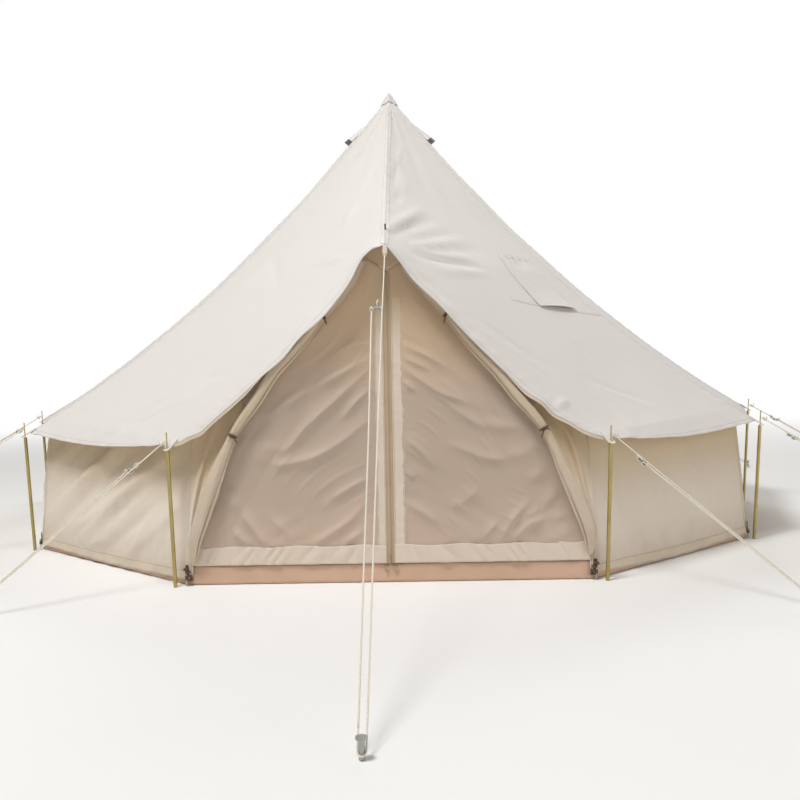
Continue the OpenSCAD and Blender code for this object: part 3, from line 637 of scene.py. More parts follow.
def ridge(points, line, width, height):
    """Height of a soft ridge along a smooth line over flat points, lower towards its ends."""
    line = spline(line, 0.02)
    steps = np.linalg.norm(np.diff(line, axis=0), axis=1)
    best, way, done = np.full(points.shape[:-1], 9.0), np.zeros(points.shape[:-1]), 0.0
    for a, b, step in zip(line[:-1], line[1:], steps):
        t = np.clip(((points - a) @ (b - a)) / step ** 2, 0, 1)
        gap = ((points - a - t[..., None] * (b - a)) ** 2).sum(-1)
        way = np.where(gap < best, done + t * step, way)
        best = np.minimum(best, gap)
        done += step
    return height * np.exp(-(best / width ** 2) ** 0.72) * np.sin(math.pi * (0.07 + 0.86 * way / done)) ** 0.8


# The tent's surfaces


def ring_point(r, az, z):
    """Point at a radius and an angle from the door's middle, towards the right."""
    a = np.radians(az)
    return np.stack(np.broadcast_arrays(r * np.sin(a), -r * np.cos(a), z), -1)


def pole_az(k):
    """Angle of a wall pole."""
    return FIRST_AZ + k * POLE_STEP


def seam_z(s):
    """Height of a roof seam at a row."""
    return APEX_H - (DROP + DIP4) * s + DIP4 * s * s


def bow(a, b, c, t):
    """Curve from a to c, drawn towards b."""
    return (1 - t) ** 2 * a + 2 * t * (1 - t) * b + t * t * c


def door_edge(t, reach):
    """Curved edge of the roof beside the door, from the peak to the first pole."""
    c = ring_point(EAVE_R, pole_az(0), seam_z(1.0))
    x = bow(0, reach, c[0], t)
    y = bow(-PEAK_OUT, -(PEAK_OUT - c[1]) / 2, c[1], t)
    return np.stack(np.broadcast_arrays(x, y, bow(PEAK_H, EDGE_LEVEL, c[2], t)), -1)


def rounded(p):
    """Points by the peak at the left, lifted where the frame's bend rounds the roof's edge."""
    near = np.exp(-((p - door_edge(0.045, REACH_LEFT)) ** 2).sum(-1) / PEAK_BEND ** 2)
    return p + (PEAK_SWELL * near * ease(p[..., 0] / 0.035))[..., None] * np.array([0.75, 0, 0.66])


def side_edge(t, side):
    """Roof's edge at the right (1) or the left (-1) of the door, both counted outward."""
    return door_edge(t, REACH_RIGHT) if side > 0 else rounded(door_edge(t, REACH_LEFT))


def roof_base(u, s):
    """Roof surface: u counts panels to the right from the ridge, and s runs from the apex to the eave."""
    u, s = np.broadcast_arrays(np.asarray(u, float), np.asarray(s, float))
    left = u > POLES - 2
    front = (u < 1) | left
    k = np.clip(np.floor(u), 1, POLES - 3)
    v = np.where(left, POLES - 1 - u, np.where(u < 1, u, u - k))
    z = seam_z(s)
    top = np.stack([0 * s, -PEAK_OUT * (APEX_H - z) / (APEX_H - PEAK_H), z], -1)
    t = np.clip((s - PEAK_ROW) / (1 - PEAK_ROW), 0, 1)
    edge = np.where((s <= PEAK_ROW)[..., None], top, door_edge(t, np.where(left, REACH_LEFT, REACH_RIGHT)))
    a = np.where(front[..., None], edge, ring_point(s * EAVE_R, pole_az(k), z))
    b = ring_point(s * EAVE_R, pole_az(np.where(front, 1, k + 1)), z)
    p = a + (b - a) * v[..., None]
    arc = np.sin(math.pi * v)
    p[..., 2] -= GORE_SINK * arc * np.sin(math.pi * np.minimum(1, s / WALL_ROW))
    p[..., 2] -= np.where(s > WALL_ROW, EAVE_DROOP * arc * (s - WALL_ROW) / (1 - WALL_ROW), 0)
    return np.where(left[..., None], rounded(p) * np.array([-1, 1, 1]), p)


# Soft creases in the roof: start and end as (panel, row), width and height in metres
CREASES = [
    ((0.009, 0.480), (0.258, 0.382), 0.022, 0.012), ((0.031, 0.488), (0.323, 0.403), 0.020, -0.011),
    ((0.103, 0.497), (0.423, 0.435), 0.016, -0.010), ((0.120, 0.505), (0.489, 0.448), 0.018, 0.011),
    ((0.112, 0.519), (0.544, 0.474), 0.016, -0.011), ((0.149, 0.521), (0.492, 0.499), 0.014, 0.008),
    ((0.109, 0.526), (0.458, 0.525), 0.018, -0.016), ((0.166, 0.547), (0.481, 0.537), 0.020, 0.009),
    ((0.112, 0.265), (0.049, 0.347), 0.020, -0.006), ((0.129, 0.351), (0.037, 0.401), 0.020, -0.006),
    ((0.200, 0.195), (0.103, 0.263), 0.022, 0.004), ((0.186, 0.305), (0.089, 0.382), 0.024, 0.004),
    ((0.140, 0.640), (0.252, 0.739), 0.018, -0.008), ((0.083, 0.649), (0.183, 0.750), 0.018, 0.007),
    ((0.097, 0.664), (0.192, 0.766), 0.018, -0.007), ((0.532, 0.692), (0.581, 0.734), 0.025, -0.007),
    ((0.372, 0.774), (0.572, 0.885), 0.030, -0.008), ((0.389, 0.805), (0.529, 0.917), 0.030, 0.006),
    ((0.275, 0.819), (0.289, 0.914), 0.030, -0.007), ((0.043, 0.825), (0.134, 0.815), 0.020, 0.012),
    ((0.023, 0.596), (0.052, 0.638), 0.020, 0.007), ((0.009, 0.626), (0.026, 0.661), 0.018, -0.009),
    ((0.043, 0.557), (0.054, 0.593), 0.020, -0.008), ((9.720, 0.504), (9.874, 0.515), 0.016, -0.009),
    ((9.677, 0.533), (9.843, 0.533), 0.016, -0.010), ((9.694, 0.521), (9.857, 0.525), 0.014, 0.008),
    ((9.923, 0.606), (9.931, 0.575), 0.020, -0.012), ((9.948, 0.676), (9.946, 0.634), 0.020, -0.012),
    ((9.966, 0.645), (9.951, 0.613), 0.020, 0.008), ((9.599, 0.938), (9.783, 0.757), 0.032, -0.014),
    ((9.682, 0.948), (9.863, 0.766), 0.034, 0.012), ((9.405, 0.968), (9.597, 0.787), 0.034, -0.012),
    ((9.482, 0.973), (9.691, 0.795), 0.034, 0.011), ((9.677, 0.755), (9.808, 0.727), 0.028, -0.010),
    ((9.728, 0.861), (9.794, 0.798), 0.028, -0.010), ((9.751, 0.420), (9.757, 0.371), 0.034, 0.011),
    ((9.259, 0.467), (9.528, 0.551), 0.036, -0.010), ((9.494, 0.624), (9.508, 0.581), 0.030, -0.006),
    ((9.385, 0.194), (9.740, 0.194), 0.030, -0.005), ((9.768, 0.312), (9.860, 0.260), 0.020, 0.006),
    ((1.20, 0.62), (1.34, 0.90), 0.030, 0.007), ((2.70, 0.60), (2.62, 0.92), 0.034, -0.008),
    ((3.25, 0.70), (3.38, 0.94), 0.030, 0.007), ((4.75, 0.55), (4.64, 0.90), 0.034, 0.008),
    ((5.30, 0.66), (5.42, 0.93), 0.032, -0.008), ((6.70, 0.58), (6.60, 0.90), 0.032, 0.008),
    ((7.28, 0.64), (7.40, 0.92), 0.030, -0.008), ((8.72, 0.60), (8.60, 0.93), 0.032, 0.007),
]


def roof_relief(u, s, p):
    """Height of creases, puckers and slack over the roof surface."""
    out = 0.0022 * np.sin(3.1 * u + 5 * s + 2 * np.sin(7 * s)) * np.sin(math.pi * s) ** 0.5
    out += 0.0018 * np.sin(9.2 * u - 13 * s) * np.sin(5.3 * u + 17 * s + 1)
    out += 0.0022 * np.sin(17 * u + 21 * s + 2 * np.sin(6 * u - 9 * s)) * np.sin(4.1 * u - 8 * s + 2)
    near = np.round(u)
    lat = np.abs(u - near) * s * PANEL_W
    out += 0.0016 * np.exp(-(lat / 0.07) ** 2) * np.sin(TURN * s * SEAM_RUN / 0.085 + 1.7 * near)
    fan = np.exp(-((1 - s) / 0.16) ** 2) * np.exp(-(lat / 0.32) ** 2)
    out += 0.004 * fan * np.sin(TURN * (lat / np.maximum(0.03, 1.08 - s)) * 0.55 + near)
    for (u0, s0), (u1, s1), width, height in CREASES:
        a, b = roof_base(u0, s0), roof_base(u1, s1)
        d = b - a
        t = np.clip(((p - a) @ d) / (d @ d), 0, 1)
        gap = ((p - a - t[..., None] * d) ** 2).sum(-1)
        out += height * np.exp(-gap / width ** 2) * np.sin(math.pi * np.clip(0.12 + 0.88 * t, 0, 1)) ** 0.7
    return out


def roof_surface(u, s, lift=0.0):
    """Roof surface with its relief, raised by lift, and its normals."""
    u, s = np.broadcast_arrays(np.asarray(u, float), np.asarray(s, float))
    p = roof_base(u, s)
    e = 1e-3
    du = roof_base(np.minimum(u + e, POLES - 1), s) - roof_base(np.maximum(u - e, 0), s)
    ds = roof_base(u, np.minimum(s + e, 1)) - roof_base(u, s - e)
    n = unit(np.cross(ds, du))
    rise = lift + np.clip(np.minimum(u, POLES - 1 - u) / 0.02, 0, 1) * roof_relief(u, s, p)
    along = np.clip((s - PEAK_ROW) / 0.04, 0, 1) * np.clip((0.97 - s) / 0.08, 0, 1)
    for near, inward in ROOF_EDGES:
        gap = np.abs(u - near) * np.linalg.norm(roof_base(near + inward, s) - roof_base(near, s), axis=-1)
        pucker = 0.62 + 0.38 * np.sin(46 * s + 2 * np.sin(23 * s + near))
        rise = rise - np.where(gap < 0.2, 0.016 * along * pucker * np.exp(-(gap / 0.034) ** 2), 0)
    return p + n * rise[..., None], n


# Folds in the left wall's front panel: width, height, and the line along the panel and up it
WALL_FOLDS = [
    (0.034, 0.024, [(0.268, 0.633), (0.438, 0.462), (0.609, 0.307), (0.823, 0.121)]),
    (0.036, 0.026, [(0.157, 0.618), (0.281, 0.462), (0.428, 0.276), (0.595, 0.080)]),
    (0.026, 0.018, [(0.167, 0.492), (0.254, 0.276), (0.321, 0.095)]),
    (0.026, 0.018, [(0.127, 0.372), (0.161, 0.226), (0.194, 0.070)]),
    (0.022, 0.012, [(0.482, 0.156), (0.572, 0.111), (0.642, 0.060)]),
    (0.022, 0.010, [(0.298, 0.266), (0.378, 0.156), (0.431, 0.080)]),
    (0.030, 0.010, [(0.542, 0.688), (0.672, 0.583), (0.692, 0.477)])]


def wall_az(k):
    """Angle of the wall's corner at a pole, or at the door's foot."""
    return FOOT_AZ if k == 0 else 360 - FOOT_AZ if k == POLES - 1 else pole_az(k)


def wall_surface(x, h, deep, slant, side=1):
    """Wall surface: x counts panels from the door's foot, and h runs from the hem to the top."""
    x, h = np.broadcast_arrays(np.asarray(x, float), np.asarray(h, float))
    k = np.clip(np.floor(x), 0, POLES - 2).astype(int)
    c = x - k
    az = np.array([wall_az(i) for i in range(POLES)])
    top = WALL_TOP_Z - WALL_TUCK + np.where(k == 0, 0.022 * (1 - c) ** 3, 0)
    z = HEM_H + (top - HEM_H) * h
    r = WALL_FOOT_R + (WALL_TOP_R - WALL_FOOT_R) * h
    a, b = ring_point(r, az[k], z), ring_point(r, az[k + 1], z)
    ends = np.sqrt(np.abs(np.sin(math.pi * c)))
    belly = np.sin(math.pi * np.clip(h, 0, 1))
    wave = (0.5 + 0.5 * np.sin(TURN * 3 * (c + slant * h))) ** 2
    fine = np.maximum(0, np.sin(TURN * (5.4 * (c + 1.1 * slant * h) + 0.31 * k))) ** 3
    ripple = np.sin(TURN * (8.3 * c + 2.1 * slant * h + 0.13 * k)) * np.sin(TURN * (5.1 * c - 1.2 * h))
    fold = deep * ends * (wave * belly ** 0.8 + 0.3 * fine * belly ** 0.6 + 0.16 * ripple * belly ** 0.5)
    if side < 0:
        size = np.array([PANEL_W, WALL_H])
        flat = np.stack([c, h], -1) * size
        for width, height, line in WALL_FOLDS:
            fold += np.where(k == 0, ridge(flat, np.array(line) * size, width, height) * ends, 0)
    hem = 0.0035 * np.sin(TURN * 9 * c + k) * np.exp(-h / 0.08) * ends
    p = a + (b - a) * c[..., None] + unit((a + b) * LEVEL) * (fold + hem)[..., None]
    sag = 0.022 if side > 0 else 0.012
    p[..., 2] -= np.exp(-h / 0.06) * (0.010 + sag * np.sin(math.pi * c) ** 2)
    p[..., 0] *= side
    return p


# Operators


# Camera with its turns in degrees, and lamps with their places, aims, sizes and powers
CAMERA_AT = (0.083, -6.357, 1.063)
CAMERA_TURN = {"yaw": -0.37, "pitch": -2.62, "roll": -0.99}
LENS = 38.41
LAMPS = (("Key", (-2.6, -5.2, 8.2), (0, 0, 0.9), 2.2, 560),
         ("Fill", (6.2, -6.8, 2.6), (0, 0, 0.8), 5.0, 105),
         ("Back", (2.0, 7.0, 7.0), (0, 0, 1.2), 5.0, 330))
WARM_SKY = (1.0, 0.925, 0.80, 1)
SKY_POWER = 0.22
WHITE = (1, 1, 1, 1)


class TENT_OT_stage(bpy.types.Operator):
    """Add the camera, the lamps and the pale floor."""

    bl_idname = "tent.stage"
    bl_label = "Stage"

    def execute(self, context):
        scene = context.scene
        self.camera(scene)
        for name, place, aim, size, power in LAMPS:
            lamp = bpy.data.lights.new(name, "AREA")
            lamp.energy = power
            lamp.size = size
            holder = bpy.data.objects.new(name, lamp)
            holder.location = place
            holder.rotation_euler = (Vector(aim) - Vector(place)).to_track_quat("-Z", "Y").to_euler()
            scene.collection.objects.link(holder)
        self.world(scene)
        self.floor(scene)
        scene.view_settings.view_transform = "Standard"
        return {"FINISHED"}

    def camera(self, scene):
        yaw, pitch, roll = (math.radians(CAMERA_TURN[way]) for way in ("yaw", "pitch", "roll"))
        forward = Vector((math.sin(yaw) * math.cos(pitch), math.cos(yaw) * math.cos(pitch), math.sin(pitch)))
        right = Vector((math.cos(yaw), -math.sin(yaw), 0))
        up = right.cross(forward)
        turned = right * math.cos(roll) + up * math.sin(roll)
        up = up * math.cos(roll) - right * math.sin(roll)
        data = bpy.data.cameras.new("Camera")
        data.sensor_fit = "HORIZONTAL"
        data.sensor_width = 36.0
        data.lens = LENS
        data.clip_end = 200
        camera = bpy.data.objects.new("Camera", data)
        turn = Matrix((turned, up, -forward)).transposed().to_4x4()
        camera.matrix_world = Matrix.Translation(CAMERA_AT) @ turn
        scene.collection.objects.link(camera)
        scene.camera = camera

    def world(self, scene):
        """White to the eye, and a weak warm light on the tent."""
        world = bpy.data.worlds.new("Studio")
        scene.world = world
        world.use_nodes = True
        tree = world.node_tree
        light = tree.nodes["Background"]
        white = tree.nodes.new("ShaderNodeBackground")
        for node, rgb, power in ((light, WARM_SKY, SKY_POWER), (white, WHITE, 1.0)):
            node.inputs["Color"].default_value = rgb
            node.inputs["Strength"].default_value = power
        mix = tree.nodes.new("ShaderNodeMixShader")
        for socket, source in zip(mix.inputs, (self.seen(tree), light.outputs[0], white.outputs[0])):
            tree.links.new(source, socket)
        tree.links.new(mix.outputs[0], tree.nodes["World Output"].inputs["Surface"])

    def seen(self, tree):
        """One for rays from the camera and for mirrored and clear ones, and zero for other light."""
        ray = tree.nodes.new("ShaderNodeLightPath")
        last = ray.outputs["Is Camera Ray"]
        for name in ("Is Glossy Ray", "Is Transmission Ray"):
            most = tree.nodes.new("ShaderNodeMath")
            most.operation = "MAXIMUM"
            tree.links.new(last, most.inputs[0])
            tree.links.new(ray.outputs[name], most.inputs[1])
            last = most.outputs[0]
        return last

    def floor(self, scene):
        """Pale floor that takes the shadow and fades to white far out."""
        reach, count, sink = 26.0, 24, 0.0008
        x = np.linspace(-reach, reach, count)
        grid = np.stack(np.broadcast_arrays(x[None], x[::-1, None], -sink), -1)
        mesh = bpy.data.meshes.new("floor")
        mesh.from_pydata(grid.reshape(-1, 3).tolist(), [], grid_faces(count, count))
        f = Finish("Studio floor", scene.tent_colours.floor[:], 0.9)
        f.tint(f.shades(f.noise(0.8, 4), (0.3, 0.985), (0.7, 1.01)))
        lit = f.add("Emission", Color=WHITE, Strength=1.0)
        out = f.add("VectorMath", {"operation": "LENGTH"}, Vector=f.place("Object")).outputs["Value"]
        far = f.add("MapRange", {"interpolation_type": "SMOOTHSTEP"}, From_Min=3.6, From_Max=11.0, Value=out)
        mix = f.add("MixShader", Fac=f.maths("MULTIPLY", far.outputs[0], self.seen(f.tree)))
        f.put(mix.inputs[1], f.shader.outputs[0])
        f.put(mix.inputs[2], lit.outputs[0])
        f.put(f.tree.nodes["Material Output"].inputs["Surface"], mix.outputs[0])
        mesh.materials.append(f.material)
        floor = bpy.data.objects.new("floor", mesh)
        scene.collection.objects.link(floor)


def guy_points(k):
    """Start and peg of a guy rope; k is None for the one at the door."""
    if k is None:
        return np.array(FRONT_START), np.array([*FRONT_PEG, PEG_GRIP])
    x, y = ROPE_PEGS[min(k, POLES - 1 - k)]
    peg = np.array([x if k <= POLES - 1 - k else -x, y, PEG_GRIP])
    lean = (TAB_EYE_R - POLE_FOOT_R) / TAB_EYE_H
    spike = ring_point(POLE_FOOT_R + lean * ROPE_EYE_H, pole_az(k), ROPE_EYE_H)
    return spike + unit((peg - spike) * LEVEL) * SPIKE_GAP, peg


class TENT_OT_guy_ropes(bpy.types.Operator):
    """Add the guy ropes: a laid strand to each peg, the strand back to its tensioner, and their knots."""

    bl_idname = "tent.guy_ropes"
    bl_label = "Guy ropes"

    def execute(self, context):
        d = context.scene.tent_sizes.rope
        for k in [None, *range(POLES)]:
            tag = "front" if k is None else str(k + 1)
            self.guy(tag, *guy_points(k), RUNNER_FRONT if k is None else RUNNER_SIDE, d)
        return {"FINISHED"}

    def guy(self, tag, a, b, runner, d):
        """One rope from a to its peg at b and back, with its tensioner runner metres from a."""
        span = np.linalg.norm(b - a)
        along = unit(b - a)
        side = unit(np.cross(along, UP))
        up = np.cross(side, along)
        turn = PEG_TURN / np.linalg.norm(along[:2])

        def line(stops):
            return self.even(np.array([a + along * x + side * y for x, y in stops]))

        bend = np.linspace(-math.pi / 2, math.pi / 2, 13)
        path = line([(0, 0), (0.04, 0), (runner, 0), (span / 2, -PEG_TURN / 3), (span - 0.06, -PEG_TURN),
                     *((span + turn * math.cos(t), PEG_TURN * math.sin(t)) for t in bend),
                     (span - 0.03, PEG_TURN), (span - 0.06, PEG_TURN)])
        main = piece(f"guy_rope_{tag}_strand", *tube_mesh(path, d / 2), "Laid rope", "rope", "tent")
        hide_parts(f"guy_rope_{tag}")
        back = line([(span - 0.06, PEG_TURN), (span / 2, (PEG_TURN + RUNNER_W) / 2),
                     (runner + 0.06, RUNNER_W), (runner, RUNNER_W)])
        loop = piece(f"guy_rope_{tag}_return", *tube_mesh(back, d / 2), "Laid rope", "rope", None)
        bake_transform(loop)
        knots = self.knots(tag, a, along, side, up, runner, d)

    def run(self, path):
        """Length of a rope."""
        return float(way_along(path)[-1])

    def even(self, points):
        """Path with long steps on the straights and short ones in the turns."""
        out = [points[0]]
        for p, q in zip(points[:-1], points[1:]):
            gap = np.linalg.norm(q - p)
            n = max(1, int(round(gap / (0.03 if gap > 0.025 else 0.006))))
            out += [p + (q - p) * i / n for i in range(1, n + 1)]
        return np.array(out)

    def knots(self, tag, a, along, side, up, runner, d):
        """Hitch at the eave and the wraps and stopper knot in the tensioner's holes."""
        r = d / 2
        t = np.linspace(0, 1, 70)
        coil = hoop(a, side * d * 0.98, up * d * 0.98, TURN * 3.2 * t) + np.outer(0.009 + 0.022 * t, along)
        i = np.arange(1, 5)[:, None]
        tail = coil[-1] + side * 0.002 * i + up * 0.004 * i - along * 0.0006 * i * i
        hitch = tubes(f"guy_knot_{tag}", [np.vstack([coil, tail])], r * 0.92, "Laid rope", "rope", "tent")
        plate = a + along * (runner - 0.006) - up * (r + 0.0024)
        turn = np.linspace(0, TURN, 26)
        wraps = [hoop(plate + side * across + along * ahead, along * 0.0105, up * 0.0072, turn)
                 + np.outer(np.sin(turn / 2), side * 0.003)
                 for across, ahead in ((0.0, 0.0), (RUNNER_W, 0.0), (RUNNER_W / 2, -0.033))]
        stop = plate + side * RUNNER_W + along * 0.004 + up * 0.010
        turn = np.linspace(0, 2 * TURN, 40)
        wraps.append(hoop(stop, side * 0.0062, up * 0.0062, turn) + np.outer(0.004 + 0.001 * turn, along))
        end = plate + side * RUNNER_W / 2 - along * 0.033
        wraps.append(np.array([end + along * x + up * z for x, z in (
            (0.0, 0.006), (-0.004, 0.012), (-0.012, 0.008), (-0.022, 0.004))]))
        return hitch, tubes(f"runner_knot_{tag}", wraps, r * 0.9, "Laid rope", "rope", f"tensioner_{tag}")


class TENT_OT_roof(bpy.types.Operator):
    """Add the roof: one sewn sheet of canvas with seams, hems and creases."""

    bl_idname = "tent.roof"
    bl_label = "Roof"

    def execute(self, context):
        size = context.scene.tent_sizes
        front = np.concatenate([np.linspace(0, 0.2, 26)[:-1], np.linspace(0.2, 1, 72)[:-1]])
        rest = [k + np.linspace(0, 1, 23)[:-1] for k in range(1, POLES - 2)]
        u = np.unique(np.concatenate([front, *rest, POLES - 1 - front, [POLES - 2.0]]))
        s = np.concatenate([np.linspace(HOLE_ROW, PEAK_ROW, 50)[:-1],
                            np.linspace(PEAK_ROW, WALL_ROW, 76)[:-1], np.linspace(WALL_ROW, 1, 9)])
        grid, _ = roof_surface(u[None], s[:, None])
        roof = cloth("roof_canvas", grid, "Roof canvas", "roof_canvas", "tent", size.canvas)
        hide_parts("roof_front_left", "roof_front_right", "roof_left", "roof_right", "roof_rear")
        seams = [self.seams(size), self.facing(size)]
        return {"FINISHED"}

    def facing(self, size):
        """Edge turned down beside the door, below the rolled doors, in the walls' darker seam finish as
        painted shade.
        """
        strips = Strips()
        rows = np.linspace(PEAK_ROW + 0.44 * (1 - PEAK_ROW), 0.985, 60)
        drop = UP * -0.016 * np.clip((rows - rows[0]) / 0.04 + 0.1, 0, 1)[:, None]
        for near, inward in ROOF_EDGES:
            edge, _ = roof_surface(near + 0 * rows, rows, -size.canvas)
            strips.tape(*(edge, edge + drop)[::-inward], FRONT, 0.001)
        # The wall seam finish makes this roof canvas darker: painted shade
        return strips.make("roof_facing", "Wall seam", "roof_canvas", "tent")

    def seams(self, size):
        """Tapes on the seams, the ridge, the eave and the door's edges, and the stitched line by the flap."""
        strips = Strips()
        rows = np.linspace(0.05, 0.999, 90)
        half = size.seam / 2 / (rows * PANEL_W)
        for k in range(1, POLES - 1):
            left, n = roof_surface(k - half, rows, SEAM_LIFT)
            right, m = roof_surface(k + half, rows, SEAM_LIFT)
            strips.tape(left, right, (n + m) / 2)
        rows = np.linspace(0.05, PEAK_ROW, 60)
        for edge in ROOF_EDGES:
            self.edge(strips, *edge, rows, 0.018 / (rows * 2.3))
        for k, count in [*((k, 24) for k in range(1, POLES - 2)), (0, 30), (POLES - 2, 30)]:
            self.band(strips, np.linspace(k, k + 1, count), 1 - size.hem / GORE_RUN, 1.0)
        rows = np.linspace(PEAK_ROW + 0.004, 0.995, 80)
        for near, inward in ROOF_EDGES:
            wide = np.linalg.norm(roof_base(near + inward, rows) - roof_base(near, rows), axis=-1)
            self.edge(strips, near, inward, rows, size.hem / wide)
        u = np.linspace(0.445, 0.984, 40)
        s = 0.588 + (0.638 - 0.588) * (u - 0.445) / 0.539
        self.band(strips, u, s - 0.003, s + 0.003)
        return strips.make("roof_seams", "Roof seam", "roof_canvas", "tent")

    def edge(self, strips, near, inward, rows, width):
        """Tape down the roof, from a front edge inward by a width in panels."""
        a, _ = roof_surface(near + 0 * rows, rows, SEAM_LIFT)
        b, n = roof_surface(near + inward * width, rows, SEAM_LIFT)
        strips.tape(*(a, b)[::inward], n)

    def band(self, strips, u, high, low):
        """Tape across the roof between two rows."""
        a, n = roof_surface(u, high, SEAM_LIFT)
        b, _ = roof_surface(u, low, SEAM_LIFT)
        strips.tape(b, a, n)


class TENT_OT_apex(bpy.types.Operator):
    """Add the apex cap and the two vent hoods."""

    bl_idname = "tent.apex"
    bl_label = "Apex cap and vents"

    def execute(self, context):
        size = context.scene.tent_sizes
        u = np.linspace(0, POLES - 1, 121)
        rim = roof_base(u, CAP_ROW) + UP * 0.0064
        tip = np.array([0, 0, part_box("apex_cap")[1][2]])
        f = np.concatenate([np.linspace(0.015, 0.9, 20), np.linspace(0.93, 1, 4)])[:, None, None]
        grid = tip + (rim - tip) * f
        round_ = ring_point(0.062, 360 * u / (POLES - 1), 0.0)
        soft = np.clip(1 - f * 1.25, 0, 1)
        grid[..., :2] += (soft * f * (round_ - rim))[..., :2] * 0.4
        grid[..., 2] += 0.004 * np.sin(math.pi * f[..., 0]) - 0.0012 * np.sin(2 * TURN * u)[None] * f[..., 0]
        cap = cloth("apex_cap_canvas", grid, "Roof canvas", "roof_canvas", "tent", size.canvas)
        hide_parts("apex_cap")
        strips = Strips()
        strips.tape(grid[-1], grid[-3])
        for j in range(12, 120, 12):
            line = grid[2:, j]
            across = unit(grid[2:, j + 1] - grid[2:, j - 1])
            across *= np.minimum(0.006, 0.05 * np.linalg.norm(line - tip, axis=1))[:, None]
            strips.tape(line - across, line + across)
        trim = strips.make("apex_cap_seams", "Roof seam", "roof_canvas", "tent")
        for side, name in reversed(SIDES):
            self.hood(side, name, size)
        return {"FINISHED"}

    def hood(self, side, name, size):
        """Vent hood on a side panel, with its hem and the net in its mouth, both dark partly as painted shade
        of the opening.
        """
        k = 2.5
        mouth, top = roof_base(k, VENT_ROW), roof_base(k, HOLE_ROW)
        down = unit(mouth - top)
        across = unit(roof_base(k + 0.49, VENT_ROW) - roof_base(k - 0.49, VENT_ROW))
        up = np.cross(down, across)
        start = mouth - down * 0.196 + up * 0.004
        a = np.linspace(0, math.pi, 41)
        u = np.linspace(0, 1, 26)[:, None]
        half = 0.094 * (0.35 + 0.65 * u)
        tall = 0.062 * (0.12 + 0.88 * u ** 0.7)
        sag = 1 - 0.07 * np.sin(3 * a) * u ** 2 - 0.025 * np.sin(9 * a)
        grid = (start + down * (0.19 * u)[..., None] - across * (half * np.cos(a))[..., None]
                + up * (tall * np.sin(a) * sag)[..., None])
        if side < 0:
            grid = (grid * np.array([-1, 1, 1]))[:, ::-1]
        hood = cloth(f"vent_hood_{name}", grid, "Roof canvas", "roof_canvas", "tent", size.canvas)
        strips = Strips()
        strips.tape(grid[-1], grid[-6], grid_normals(grid)[-1])
        hem = strips.make(f"vent_hood_{name}_hem", "Vent mesh", "webbing", "tent")
        inset = grid[-3]
        base = (inset[0] + inset[-1]) / 2
        fan = (inset - base) * np.linspace(1, 0.02, 8)[:, None, None]
        net = cloth(f"vent_net_{name}", base + fan * 0.985, "Vent mesh", "door_mesh", "tent", 0.001)
        if side > 0:
            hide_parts("vent_hoods")


class TENT_OT_stove_flap(bpy.types.Operator):
    """Add the storm flap over the stove port, with its hem and wrinkles."""

    bl_idname = "tent.stove_flap"
    bl_label = "Stove flap"

    def execute(self, context):
        size = context.scene.tent_sizes
        f, g = np.meshgrid(np.linspace(0, 1, 34), np.linspace(0, 1, 34), indexing="ij")

        def between(a, b, c, d):
            """Values over the flap from those at its upper and lower corners."""
            return (a * (1 - g) + b * g) * (1 - f) + (c * (1 - g) + d * g) * f

        u = between(0.655, 0.885, 0.59, 0.82)
        s = between(0.4755, 0.4785, 0.606, 0.620)
        wrinkle = 0.008 * np.sin(14 * g + 3 * f) * np.exp(-f / 0.25)
        wrinkle += 0.005 * np.sin(9 * g - 8 * f + 1) * (1 - f)
        wrinkle *= np.clip(g * 6, 0.1, 1) * np.clip((1 - g) * 6, 0.1, 1)
        curl = 0.02 * f ** 6 * (0.1 + 0.9 * np.sin(math.pi * np.clip(0.05 + 0.8 * g, 0, 1)))
        base, n = roof_surface(u, s)
        grid = base + n * (0.0042 + np.abs(wrinkle) + curl)[..., None]
        flap = cloth("stove_flap_canvas", grid, "Roof canvas", "roof_canvas", "flap", size.canvas)
        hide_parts("stove_flap")
        strips = Strips()
        strips.tape(grid[-1], grid[-3])
        strips.tape(grid[:, 0], grid[:, 2])
        strips.tape(grid[:, -3], grid[:, -1])
        strips.tape(grid[2], grid[0])
        hem = strips.make("stove_flap_hem", "Roof seam", "roof_canvas", "flap")
        return {"FINISHED"}


class TENT_OT_walls(bpy.types.Operator):
    """Add the walls, hung with folds, with their hems and panel seams."""

    bl_idname = "tent.walls"
    bl_label = "Walls"

    def execute(self, context):
        size = context.scene.tent_sizes
        for name, first, last, deep, slant, side in (
                ("left", 0, 3, size.wall_left, SLANT_LEFT, -1),
                ("right", 0, 3, size.wall_right, SLANT_RIGHT, 1),
                ("rear", 3, POLES - 4, size.wall_rear, SLANT_REAR, 1)):
            x = np.linspace(first + 1e-6, last - 1e-6, (last - first) * WALL_COLS + 1)
            h = np.concatenate([np.linspace(1, 0.12, 38)[:-1], np.linspace(0.12, 0, 10)])
            grid = wall_surface(x[None], h[:, None], deep, slant, side)
            if side < 0:
                grid = grid[:, ::-1]
            wall = cloth(f"wall_{name}_canvas", grid, "Wall canvas", "wall_canvas", "tent", size.canvas)
            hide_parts(f"wall_{name}")
            hem = self.trim(name, grid)
        return {"FINISHED"}

    def trim(self, name, grid):
        """Hem along the foot and a tape on each seam between panels."""
        proud = grid + unit(grid * LEVEL) * SEAM_LIFT
        strips = Strips()
        strips.tape(proud[-1], proud[-5])
        for j in range(WALL_COLS, grid.shape[1] - 1, WALL_COLS):
            strips.tape(proud[:, j - 1], proud[:, j + 1])
        return strips.make(f"wall_{name}_hem", "Wall seam", "wall_canvas", "tent")


